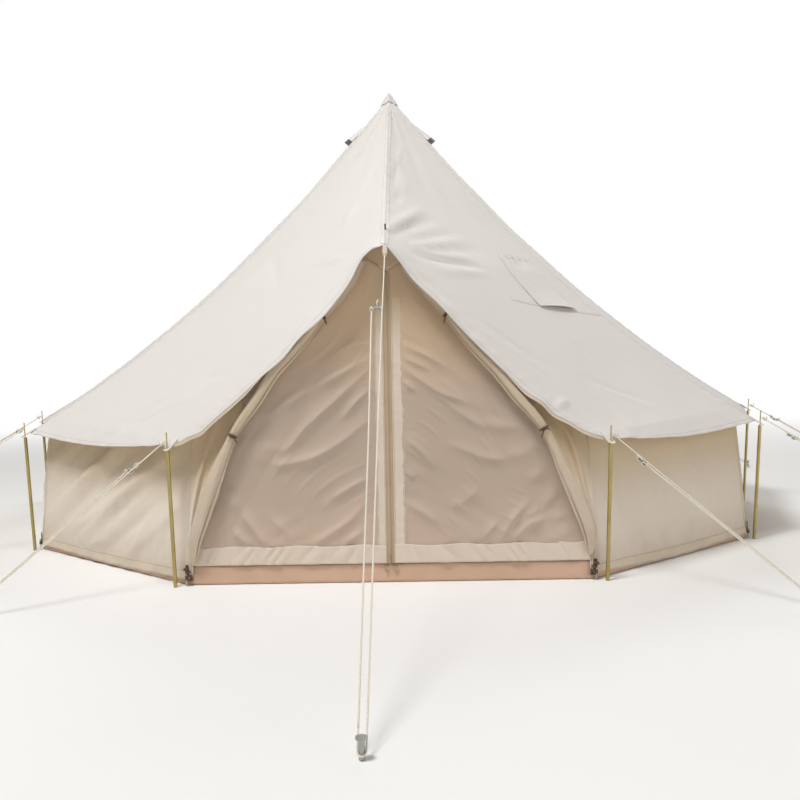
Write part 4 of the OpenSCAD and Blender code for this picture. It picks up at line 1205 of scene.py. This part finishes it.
class TENT_OT_groundsheet(bpy.types.Operator):
    """Add the groundsheet with its upturned rim and the door sill."""

    bl_idname = "tent.groundsheet"
    bl_label = "Groundsheet"

    def execute(self, context):
        corners = [ring_point(RIM_R - 0.001, wall_az(k), 0.0)[:2] for k in range(POLES)]
        edge, tall = [], []
        for k in range(POLES):
            a, b = corners[k], corners[(k + 1) % POLES]
            for t in np.linspace(0, 1, RIM_STEPS, endpoint=False):
                edge.append(a + (b - a) * t)
                tall.append(SILL_H if k == POLES - 1 or k + t == 0 else RIM_H)
        edge, tall = np.array(edge), np.array(tall)
        inward = -unit(edge)
        turn = np.arange(len(edge)) / RIM_STEPS * TURN
        wave = 0.0022 * np.sin(5.0 * turn + 0.7) + 0.0016 * np.sin(11.3 * turn)
        rows = []
        for t in np.linspace(0.02, 1, 26):
            z = 0.0028 + 0.0016 * np.sin(9 * t + 3 * turn) * np.sin(math.pi * t)
            rows.append(np.column_stack([edge * t + inward * 0.004 * t ** 8, z]))
        for h in np.linspace(0.03, 1, 9):
            lean = (0.0026 + np.abs(wave) * 2) * h + 0.001
            z = 0.003 + (tall - 0.003) * h + wave * h ** 2 * 0.6
            rows.append(np.column_stack([edge + inward * lean[:, None], z]))
        rows.append(rows[-1] + np.column_stack([inward * 0.006, np.full(len(edge), -0.002)]))
        rows.append(rows[-1] - UP * 0.014)
        grid = np.array(rows)
        faces = [f[::-1] for f in grid_faces(*grid.shape[:2], 0, True)] + [tuple(range(grid.shape[1]))]
        sheet = piece("groundsheet_cloth", grid.reshape(-1, 3), faces, None, "Groundsheet", "groundsheet",
                      "tent")
        thicken(sheet, GROUND_CLOTH)
        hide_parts("groundsheet", "groundsheet_rim", "door_sill")
        return {"FINISHED"}


# Rolled canvas doors: their plane, the two tail stops' way out from the door, and the turns of canvas
ROLL_Y = DOOR_Y - 0.046
TAIL_OUT = (0.023, 0.016)
ROLL_TURNS = 2.6
# Stops along the roof's edge: way along the edge, half width and half depth
ROLL_EDGE = [(0.05, 0.016, 0.015), (0.1, 0.020, 0.019), (0.15, 0.021, 0.020), (0.195, 0.019, 0.019),
             (0.212, 0.019, 0.019), (0.26, 0.027, 0.026), (0.33, 0.030, 0.030), (0.4, 0.031, 0.030)]
# Below the edge, left and right: way in from the door's foot, height, half width and half depth
ROLL_LOW = {
    -1: [(0.356, 0.886, 0.031, 0.029), (0.290, 0.796, 0.027, 0.026), (0.250, 0.736, 0.022, 0.022),
         (0.238, 0.712, 0.022, 0.022), (0.212, 0.655, 0.026, 0.025), (0.189, 0.605, 0.032, 0.028),
         (0.158, 0.530, 0.040, 0.030), (0.128, 0.455, 0.043, 0.031), (0.096, 0.370, 0.042, 0.030),
         (0.069, 0.290, 0.039, 0.028), (0.047, 0.220, 0.034, 0.026), (0.036, 0.150, 0.025, 0.020),
         (0.028, 0.100, 0.010, 0.010)],
    1: [(0.374, 0.894, 0.031, 0.029), (0.298, 0.806, 0.027, 0.026), (0.253, 0.748, 0.022, 0.022),
        (0.240, 0.724, 0.022, 0.022), (0.210, 0.665, 0.023, 0.023), (0.186, 0.612, 0.026, 0.026),
        (0.160, 0.548, 0.031, 0.028), (0.134, 0.490, 0.035, 0.030), (0.097, 0.410, 0.039, 0.030),
        (0.062, 0.330, 0.042, 0.028), (0.033, 0.250, 0.040, 0.026), (0.023, 0.180, 0.028, 0.020),
        (0.026, 0.116, 0.010, 0.010)]}
# Stops above the two ties
TIE_STOPS = (3, 10)


def roll_stops(side):
    """Stops of a rolled door: centre across, deep and up, half width and half depth."""
    stops = []
    for t, wide, deep in ROLL_EDGE:
        low, p, high = side_edge(np.array([t - 0.01, t, t + 0.01]), side)
        way = unit(high - low)
        rise = 0.6 * way[0]
        off = (max(wide, deep) + 0.003) * math.hypot(1, rise) - rise * (ROLL_Y - p[1]) + 0.006
        stops.append((p[0] + way[2] * off, ROLL_Y, p[2] - way[0] * off, wide, deep))
    foot = WALL_FOOT_R * math.sin(math.radians(FOOT_AZ))
    stops += [(foot - inset, ROLL_Y, z, wide, deep) for inset, z, wide, deep in ROLL_LOW[side]]
    stops = np.array(stops)
    stops[-2:, 1] = DOOR_Y - np.array(TAIL_OUT)
    return stops


def drape_stops(side):
    """Stops below the roof's edge."""
    return roll_stops(side)[len(ROLL_EDGE) + 1:]


# Soft folds in the mesh, left and right of the zip: width, height at a depth of FOLD_BASE, and the line
# across and up
FOLD_BASE = 0.012
MESH_FOLDS = {
    -1: [
        (0.020, 0.010, [(0.086, 1.155), (0.200, 1.134), (0.317, 1.041)]),
        (0.024, 0.013, [(0.092, 1.080), (0.241, 0.997), (0.396, 0.918), (0.560, 0.825)]),
        (0.026, 0.015, [(0.103, 1.018), (0.244, 0.887), (0.399, 0.751), (0.478, 0.661), (0.555, 0.648),
                        (0.64, 0.678)]),
        (0.018, 0.011, [(0.095, 0.923), (0.158, 0.866), (0.217, 0.796)]),
        (0.028, 0.014, [(0.098, 0.784), (0.209, 0.695), (0.326, 0.625), (0.422, 0.593), (0.547, 0.58),
                        (0.66, 0.64)]),
        (0.026, 0.015, [(0.800, 0.455), (0.706, 0.342), (0.632, 0.234), (0.560, 0.130)]),
        (0.022, 0.012, [(0.813, 0.315), (0.738, 0.246), (0.672, 0.177)]),
        (0.024, 0.014, [(0.129, 0.371), (0.198, 0.300), (0.315, 0.224), (0.403, 0.163)]),
        (0.018, 0.010, [(0.132, 0.255), (0.180, 0.217), (0.239, 0.175)]),
        (0.026, 0.008, [(0.117, 0.501), (0.214, 0.445), (0.292, 0.403)]),
        (0.026, 0.008, [(0.587, 0.330), (0.507, 0.261), (0.479, 0.193)])],
    1: [
        (0.018, 0.011, [(0.071, 1.139), (0.142, 1.109), (0.236, 1.060), (0.311, 1.020)]),
        (0.018, 0.010, [(0.070, 1.082), (0.131, 1.052), (0.197, 1.022)]),
        (0.024, 0.015, [(0.069, 1.034), (0.158, 0.971), (0.253, 0.907), (0.328, 0.882), (0.414, 0.852)]),
        (0.016, 0.009, [(0.073, 0.967), (0.129, 0.919)]),
        (0.024, 0.013, [(0.299, 0.844), (0.384, 0.785), (0.460, 0.748), (0.555, 0.744), (0.651, 0.728)]),
        (0.024, 0.012, [(0.070, 0.695), (0.125, 0.656), (0.172, 0.607), (0.214, 0.539)]),
        (0.026, 0.012, [(0.297, 0.658), (0.382, 0.627), (0.477, 0.592), (0.573, 0.596), (0.649, 0.618),
                        (0.707, 0.66)]),
        (0.018, 0.009, [(0.070, 0.537), (0.122, 0.497)]),
        (0.026, 0.011, [(0.072, 0.387), (0.158, 0.338), (0.234, 0.278)]),
        (0.020, 0.010, [(0.735, 0.530), (0.667, 0.479)]),
        (0.022, 0.013, [(0.801, 0.438), (0.714, 0.348), (0.646, 0.310)]),
        (0.022, 0.014, [(0.676, 0.401), (0.589, 0.297), (0.530, 0.201)]),
        (0.022, 0.014, [(0.838, 0.309), (0.684, 0.281), (0.588, 0.200)]),
        (0.018, 0.011, [(0.861, 0.244), (0.779, 0.197)]),
        (0.020, 0.011, [(0.512, 0.288), (0.444, 0.212)]),
        (0.030, 0.009, [(0.428, 0.449), (0.360, 0.392), (0.292, 0.364)])]}


# Rows of the canvas hem, how far the fold line leans in at them, and their freedom to wave
HEM_ROWS = np.linspace(0.182, 0.0932, 12)[:, None]
HEM_LEAN = (HEM_ROWS - FOLD_FOOT[1]) * 0.615
HEM_FREE = np.clip((HEM_ROWS - 0.1) / 0.08, 0, 1)
# Outer end of the trim on a mesh half, at its foot and at the top of the zip
TRIM_FOOT = 0.868
TRIM_TOP = 0.0042
# Zip band from the sill, the binding's edge on it, and the tops of both
ZIP_FOOT = 0.0935
ZIP_TOP = 1.485
BINDING_TOP = 1.36
BAND_X = 0.019


class TENT_OT_mesh_doors(bpy.types.Operator):
    """Add the mesh halves with zip, bindings and hem, and the fixed mesh and canvas beside them."""

    bl_idname = "tent.mesh_doors"
    bl_label = "Mesh doors"

    def execute(self, context):
        size = context.scene.tent_sizes
        for side, name in SIDES:
            self.half(side, name, size)
            self.flank(side, name, size)
            self.gusset(side, name, size)
        return {"FINISHED"}

    def upright(self, x, z, y, side):
        """Grid of points at the door, y metres behind its plane."""
        grid = np.stack(np.broadcast_arrays(side * x, DOOR_Y + y, z), -1)
        return grid[:, ::side]

    def fold(self, x, z, side, deep):
        """Folds of the mesh: soft creases that fan from the zip, over a slow swell, and none at the hem."""
        out = 0.3 * deep * np.sin(5.2 * x + 3.1 * z + side)
        out -= 0.12 * deep * np.exp(-np.abs(x - 0.07) / 0.04) * np.sin(z * 118 + 2 * np.sin(z * 31)) ** 2
        ripple = np.sin(36 * z + 23 * x + 3 * np.sin(7 * x + 11 * z)) * np.sin(9 * z - 6 * x + side)
        out -= 0.09 * deep * ripple
        crease = np.maximum(0, np.sin(88 * (0.78 * z + 0.6 * x) + 3 * np.sin(6 * x - 5 * z + side))) ** 2
        out -= 0.17 * deep * crease * np.maximum(0, np.sin(10 * z - 13 * x + 3 * np.sin(4 * x + side))) ** 1.5
        flat = np.stack(np.broadcast_arrays(x, z), -1)
        for width, height, line in MESH_FOLDS[side]:
            out -= ridge(flat, line, width, height * deep / FOLD_BASE)
        off_line = np.abs((flat - FOLD_FOOT) @ FOLD_OUT)
        return out * (0.4 + 0.6 * ease(off_line / 0.06)) * np.clip((z - 0.17) / 0.04, 0, 1)

    def half(self, side, name, size):
        """Mesh from the zip to the fold line."""
        body = f"{name}_screen"
        a = np.linspace(0, 1, 216)[:, None]
        b = np.append(np.linspace(0, 0.998, 150), 1.0)[None]
        x = FOLD_TOP[0] + (FOLD_FOOT[0] - FOLD_TOP[0]) * a * b
        z = FOLD_TOP[1] + (FOLD_FOOT[1] - FOLD_TOP[1]) * a + 0 * b
        free = np.clip((x - 0.058) / 0.03, 0, 1)
        grid = self.upright(x, z, self.fold(x, z, side, size.mesh_fold) * free, side)
        net = cloth(f"screen_{name}_mesh", grid, "Door mesh", "door_mesh", body, NET, 0.0)
        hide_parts(f"screen_{name}")
        trims = self.zip_tapes(side, name, body)
        trims.append(self.hem(side, name, body))

    def zip_tapes(self, side, name, body):
        """Zip band and stitched binding beside it."""
        def tape(strips, near, far, rise, z, thick, pucker=0.0):
            room = np.interp(z, [FOLD_FOOT[1], FOLD_TOP[1]], [TRIM_FOOT, TRIM_TOP])
            bulge = pucker * np.maximum(0, np.sin(z * 67 + 3 * np.sin(z * 23 + side)) + np.sin(z * 31 + side))
            y = DOOR_Y - rise - bulge
            lines = [np.column_stack([side * np.minimum(x, room), y, z]) for x in (near, far)]
            strips.tape(*lines[::side], FRONT, thick)

        band, edge = Strips(), Strips()
        near = 0.0044 if side > 0 else -0.0034
        tape(band, near, BAND_X, 0.00045, np.linspace(ZIP_FOOT, ZIP_TOP, 190), 0.0004)
        wide = 0.074 if side > 0 else 0.06
        z = np.linspace(ZIP_FOOT, BINDING_TOP, 190)
        wave = 0.0015 * np.sin(z * 41) + 0.001 * np.sin(z * 97)
        tape(edge, BAND_X, wide + wave, 0.0005, z, 0.0008, 0.0008)
        tape(edge, BAND_X, wide, 0.0013, np.linspace(0.70, 0.712, 3), 0.0008, 0.0008)
        return [band.make(f"zip_band_{name}", "Zip band", "door_mesh", body),
                edge.make(f"zip_binding_{name}", "Zip binding", "wall_canvas", body)]

    def hem(self, side, name, body):
        """Canvas hem along the bottom of a mesh half, a little puckered."""
        x, z = np.linspace(0, 1, 130)[None], HEM_ROWS
        wide = 0.02 + (TRIM_FOOT - HEM_LEAN - 0.02) * x
        pucker = np.abs(np.sin(37 * x + 24 * z + 2 * np.sin(9 * x)) * np.sin(15 * x - 6 * z + side))
        y = -0.0022 - 0.0075 * pucker * np.clip((0.95 - np.abs(x - 0.5) * 2) * 3, 0, 1)
        grid = self.upright(wide, z + 0.004 * np.sin(17 * x + side) * HEM_FREE, y, side)
        return cloth(f"screen_{name}_hem", grid, "Mesh hem", "wall_canvas", body, 0.001)

    def flank_hem(self, side, name, drape):
        """End of the canvas hem, from the fold line to the drape."""
        x, z = np.linspace(0, 1, 24)[None], HEM_ROWS
        near = TRIM_FOOT - 0.006 - HEM_LEAN
        far = np.interp(z, drape[:, 1], drape[:, 0]) + 0.01
        tall = z + 0.003 * np.sin(9 * x + side) * HEM_FREE
        grid = self.upright(near + (far - near) * x, tall, -0.0013 - 0.002 * np.sin(7 * x + 3 * z) ** 2, side)
        return cloth(f"door_flank_{name}_hem", grid, "Mesh hem", "wall_canvas", "tent", 0.001)

    def roof_line(self, side):
        """Line where the mesh meets the roof, across and up."""
        x, y, z = side_edge(np.linspace(0.0, 0.97, 400), side).T
        return x, z - 0.5 * (y - DOOR_Y) - (0.01 if side > 0 else 0.018)

    def flank(self, side, name, size):
        """Fixed mesh from the fold line to the roof."""
        top = self.roof_line(side)
        t = np.linspace(0, 1, 90)
        starts = FOLD_TOP + (FOLD_FOOT - FOLD_TOP) * t[:, None] - FOLD_OUT * 0.0008
        drape = drape_stops(side)[::-1, [0, 2]]
        level = np.clip((t - 0.8) / 0.2, 0, 1) ** 2
        ways = FOLD_OUT * np.column_stack([np.ones(len(t)), 1 - 0.99 * level])
        ends = np.array([self.meet(p, way, *top, drape) for p, way in zip(starts, ways)])
        g = np.linspace(0, 1, 56)[None] ** 1.5
        x, z = np.moveaxis(starts[:, None] + (ends - starts)[:, None] * g[..., None], -1, 0)
        free = np.clip((1 - g) * 4, 0, 1)
        tuck = 0.0006 * np.exp(-(g * np.linalg.norm(ends - starts, axis=1)[:, None] / 0.003) ** 2)
        grid = self.upright(x, z, self.fold(x, z, side, size.mesh_fold) * free + tuck, side)
        net = cloth(f"door_flank_{name}", grid, "Door mesh", "door_mesh", "tent", NET, 0.0)
        if side > 0:
            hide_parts("door_flanks")
        self.gable(side, name, *top)
        self.flank_hem(side, name, drape)

    def meet(self, p, way, top_x, top_z, drape):
        """Where a line from the fold line first reaches the roof's edge or the back of the drape."""
        for r in np.linspace(0.002, 0.6, 300):
            x, z = q = p + way * r
            if z >= np.interp(x, top_x, top_z) or x > np.interp(z, drape[:, 1], drape[:, 0]) + 0.012:
                break
        return q

    def gable(self, side, name, top_x, top_z):
        """Small mesh gable over the top of the zip."""
        x = np.linspace(0.0003, 0.08 if side > 0 else 0.16, 30)[None]
        roof = np.interp(x, top_x, top_z)
        low = np.minimum(1.489 + 0.6 * x, roof - 0.001)
        z = roof + (low - roof) * np.linspace(0, 1, 8)[:, None]
        grid = self.upright(x, z, -0.003, side)
        return cloth(f"door_gable_{name}", grid, "Door mesh", "door_mesh", "tent", NET)

    def gusset(self, side, name, size):
        """Canvas of the wall's front edge, from the wall to the rolled door's drape."""
        h = np.linspace(1, 0, 60)[:, None]
        wall = (size.wall_right, SLANT_RIGHT) if side > 0 else (size.wall_left, SLANT_LEFT)
        far = wall_surface(1e-6, h, *wall)
        line = self.roof_line(side)
        top = np.interp(0.73, *line) - 0.006
        z = top + (0.045 - top) * (1 - h)
        drape = drape_stops(side)[::-1]
        near = np.stack([np.interp(z, drape[:, 2], drape[:, 0]), 0 * z + DOOR_Y - 0.004, z], -1)
        g = np.linspace(0, 1, 26)[None]
        grid = near + (far - near) * g[..., None]
        ripple = np.sin(TURN * (2.2 * g + 1.1 * h)) * np.sin(math.pi * g) ** 0.7
        grid[..., 1] -= 0.02 * np.maximum(ripple, -0.15) * np.sin(math.pi * np.clip(h, 0.02, 0.98)) ** 0.5
        roof = np.interp(grid[..., 0], *line) - 0.004
        grid[..., 2] = np.where(g < 0.7, np.minimum(grid[..., 2], roof), grid[..., 2])
        grid[..., 0] *= side
        made = cloth(f"wall_{name}_gusset", grid[:, ::side], "Wall canvas", "wall_canvas", "tent",
                     size.canvas)


class TENT_OT_rolled_doors(bpy.types.Operator):
    """Add the canvas doors, rolled up along the roof's edge and draped to the sill, with their ties."""

    bl_idname = "tent.rolled_doors"
    bl_label = "Rolled doors"

    def execute(self, context):
        for side, name in SIDES:
            door = self.roll(side, name)
            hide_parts(f"rolled_door_{name}")
            ties = [self.tie(side, name, i) for i in range(2)]
            if side > 0:
                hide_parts("door_ties")
        return {"FINISHED"}

    def roll(self, side, name):
        """Canvas wound about a smooth line through the stops, drawn in at the ties."""
        stops = roll_stops(side)
        knots = way_along(stops[:, :3])
        run = np.linspace(0, knots[-1], 150)
        wide, deep = (np.interp(run, knots, stops[:, i])[:, None] for i in (3, 4))
        lines = (np.pad(np.interp(run, knots, stops[:, i]), 3, "edge") for i in range(3))
        path = np.column_stack([np.convolve(line, np.ones(7) / 7, "valid") for line in lines])
        across = unit(np.cross(np.gradient(path, axis=0), BACK))
        a = np.linspace(0, TURN * ROLL_TURNS, 112)
        tight = sum(np.exp(-((run - knots[i] - 0.014) / 0.06) ** 2) for i in TIE_STOPS)[:, None]
        run = run[:, None]
        lobes = 1 - 0.10 * (0.5 + 0.5 * np.cos(5 * a + 9 * run))
        lobes -= 0.05 * np.cos(11 * a - 14 * run + 1) * (0.4 + tight)
        r = (0.42 + 0.58 * (a / a[-1]) ** 0.8) * lobes
        grid = (path[:, None] + (wide * r * np.cos(a))[..., None] * across[:, None]
                + (deep * r * np.sin(a))[..., None] * BACK)
        grid[..., 0] *= side
        grid = grid[:, ::-side]
        # The rolled canvas is the wall canvas made darker and warmer as painted shade, and lighter low down
        # as painted light
        door = cloth(f"rolled_door_{name}_canvas", grid, "Rolled canvas", "wall_canvas", "tent", 0.0012, 0.0)
        return door

    def tie(self, side, name, i):
        """Webbing tie: a band round the roll, its knot and two tails."""
        a, b = roll_stops(side)[TIE_STOPS[i]:TIE_STOPS[i] + 2]
        mirror = np.array([side, 1, 1])
        mid = (a[:3] + b[:3]) / 2 * mirror
        axis = unit((b[:3] - a[:3]) * mirror)
        across = np.cross(axis, BACK)
        r = max(a[3:]) + TAPE
        front = mid + FRONT * (r + 0.001)
        t = np.linspace(0, 1, 8)[:, None]
        lines = [(hoop(mid, r * across, r * BACK, np.linspace(0, TURN, 49)), 0.006),
                 (hoop(front, 0.009 * across, 0.006 * FRONT, np.linspace(0, TURN, 25)), 0.008)]
        bulge = front + FRONT * 0.004 * np.sin(math.pi * t)
        lines += [(bulge + across * reach * t - UP * drop * t ** 1.5, 0.004)
                  for reach, drop in ((0.028, 0.02), (-0.018, 0.034))]
        strips = Strips()
        for line, half in lines:
            strips.tape(line - axis * half, line + axis * half)
        return strips.make(f"door_tie_{name}_{i + 1}", "Brown webbing", "webbing", "tent")


class TENT_OT_webbing(bpy.types.Operator):
    """Add the eave tabs with their eyelets, the peg loops and the lashings at the door's feet."""

    bl_idname = "tent.webbing"
    bl_label = "Webbing"

    def execute(self, context):
        strips, eyelets = Strips(), []
        slope = math.atan(EAVE_SLOPE)
        t = np.linspace(0, 1, 18)
        wide = 0.02 * np.sqrt(np.clip(1 - ((t - 0.86) / 0.15).clip(0) ** 2, 0.05, 1))
        for k in range(POLES):
            out, across = self.ways(pole_az(k))
            down = out * math.cos(slope) - UP * math.sin(slope)
            up = np.cross(down, across)
            root = out * (EAVE_R - 0.035) + UP * (EAVE_H + 0.035 * EAVE_SLOPE) + up * 0.0025
            line = root + np.outer(t * 0.092, down) - np.outer(0.0025 * np.clip((t - 0.35) * 4, 0, 1), up)
            strips.tape(line + np.outer(wide, across), line - np.outer(wide, across), up, 0.0022)
            eye = out * TAB_EYE_R + UP * TAB_EYE_H + up * 0.0018
            eyelets.append(hoop(eye, 0.0075 * down, 0.0075 * across, np.linspace(0, TURN, 25)))
        line = np.array([(0, -PEAK_OUT - 0.0015 - 0.0018 * min(1, i), PEAK_H - 0.004 - 0.005 * i)
                         for i in range(9)])
        half = np.array([0.011, 0, 0])
        strips.tape(line - half, line + half, FRONT, 0.002)
        tabs = strips.make("guy_tab_webbing", "Roof seam", "webbing", "tent")
        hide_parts("guy_tabs")
        tubes("eave_eyelets", eyelets, 0.0021, "Brass eyelet", "pole_steel", "tent")
        self.loops()
        return {"FINISHED"}

    def ways(self, az):
        """Arrows outward and across at an angle from the door's middle."""
        out = ring_point(1.0, az, 0.0)
        return out, np.array([-out[1], out[0], 0])

    def loops(self):
        """Loop and strap at each wall peg, and the lashings at the door's feet."""
        strips = Strips()
        for k in range(POLES):
            out, across = self.ways(wall_az(k))
            ring = hoop(out * (WALL_FOOT_R + 0.0072), 0.0062 * out, 0.0058 * across, np.linspace(0, TURN, 33))
            strips.tape(ring + UP * 0.032, ring + UP * 0.05, thick=0.0014)
            strap = np.array([out * (WALL_FOOT_R + gap) + UP * z for gap, z in (
                (0.0008, 0.1), (0.0012, 0.08), (0.0014, 0.06), (0.0014, 0.044))])
            strips.tape(strap - across * 0.009, strap + across * 0.009, out, 0.0016)
        for side, _ in SIDES:
            foot = np.array([side * 0.968, DOOR_Y - 0.012, 0.03])
            for i, lean in enumerate((-0.5, 0.1, 0.6, 0.9)):
                axis = unit(np.array([side * 0.35 * lean, 0, 1.0]))
                ring = hoop(foot + axis * 0.018 * i, 0.014 * np.cross(axis, BACK), 0.012 * BACK,
                            np.linspace(0, TURN, 29))
                strips.tape(ring - axis * 0.005, ring + axis * 0.005, thick=0.0022)
        made = strips.make("peg_loop_webbing", "Brown webbing", "webbing", "tent")
        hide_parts("peg_loops")


class TENT_OT_hardware(bpy.types.Operator):
    """Finish the poles, pegs, tensioners, sliders and mouldings."""

    bl_idname = "tent.hardware"
    bl_label = "Poles and hardware"

    def execute(self, context):
        looks = {
            "Yellow plating": ["wall_poles"],
            "Galvanised steel": ["guy_pegs", "wall_pegs", "centre_pole_lower", "centre_pole_upper",
                                 "a_frame_left_leg", "a_frame_right_leg"],
            "Dark moulding": ["a_frame_crown", "centre_pole_foot", "centre_pole_top"],
            "Zip metal": ["door_zip_slider", "sill_slider_left", "sill_slider_right"],
            "Tensioner plate": ["tensioner_front", *(f"tensioner_{k + 1}" for k in range(POLES))],
        }
        for look, nodes in looks.items():
            for node in nodes:
                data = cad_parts[node].data
                data.materials.clear()
                data.materials.append(finish(look))
        return {"FINISHED"}


class TENT_PT_panel(bpy.types.Panel):
    """Bell tent sizes, colours and pieces."""

    bl_idname = "TENT_PT_panel"
    bl_label = "Bell tent"
    bl_space_type = "VIEW_3D"
    bl_region_type = "UI"
    bl_category = "Bell tent"

    def draw(self, context):
        for group in (context.scene.tent_sizes, context.scene.tent_colours):
            box = self.layout.box()
            for key in group.__annotations__:
                box.prop(group, key)
        for step in STEPS:
            self.layout.operator(step.bl_idname)


STEPS = (TENT_OT_stage, TENT_OT_guy_ropes, TENT_OT_roof, TENT_OT_apex, TENT_OT_stove_flap, TENT_OT_walls,
         TENT_OT_groundsheet, TENT_OT_mesh_doors, TENT_OT_rolled_doors, TENT_OT_webbing, TENT_OT_hardware)
CLASSES = (TentSizes, TentColours, *STEPS, TENT_PT_panel)


def register():
    for cls in CLASSES:
        bpy.utils.register_class(cls)
    bpy.types.Scene.tent_sizes = PointerProperty(type=TentSizes)
    bpy.types.Scene.tent_colours = PointerProperty(type=TentColours)


def unregister():
    del bpy.types.Scene.tent_colours
    del bpy.types.Scene.tent_sizes
    for cls in reversed(CLASSES):
        bpy.utils.unregister_class(cls)


def main():
    register()
    for step in STEPS:
        name = step.bl_idname.split(".")[1]
        getattr(bpy.ops.tent, name)()
    bpy.context.view_layer.update()
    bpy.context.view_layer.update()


if __name__ == "__main__":
    main()
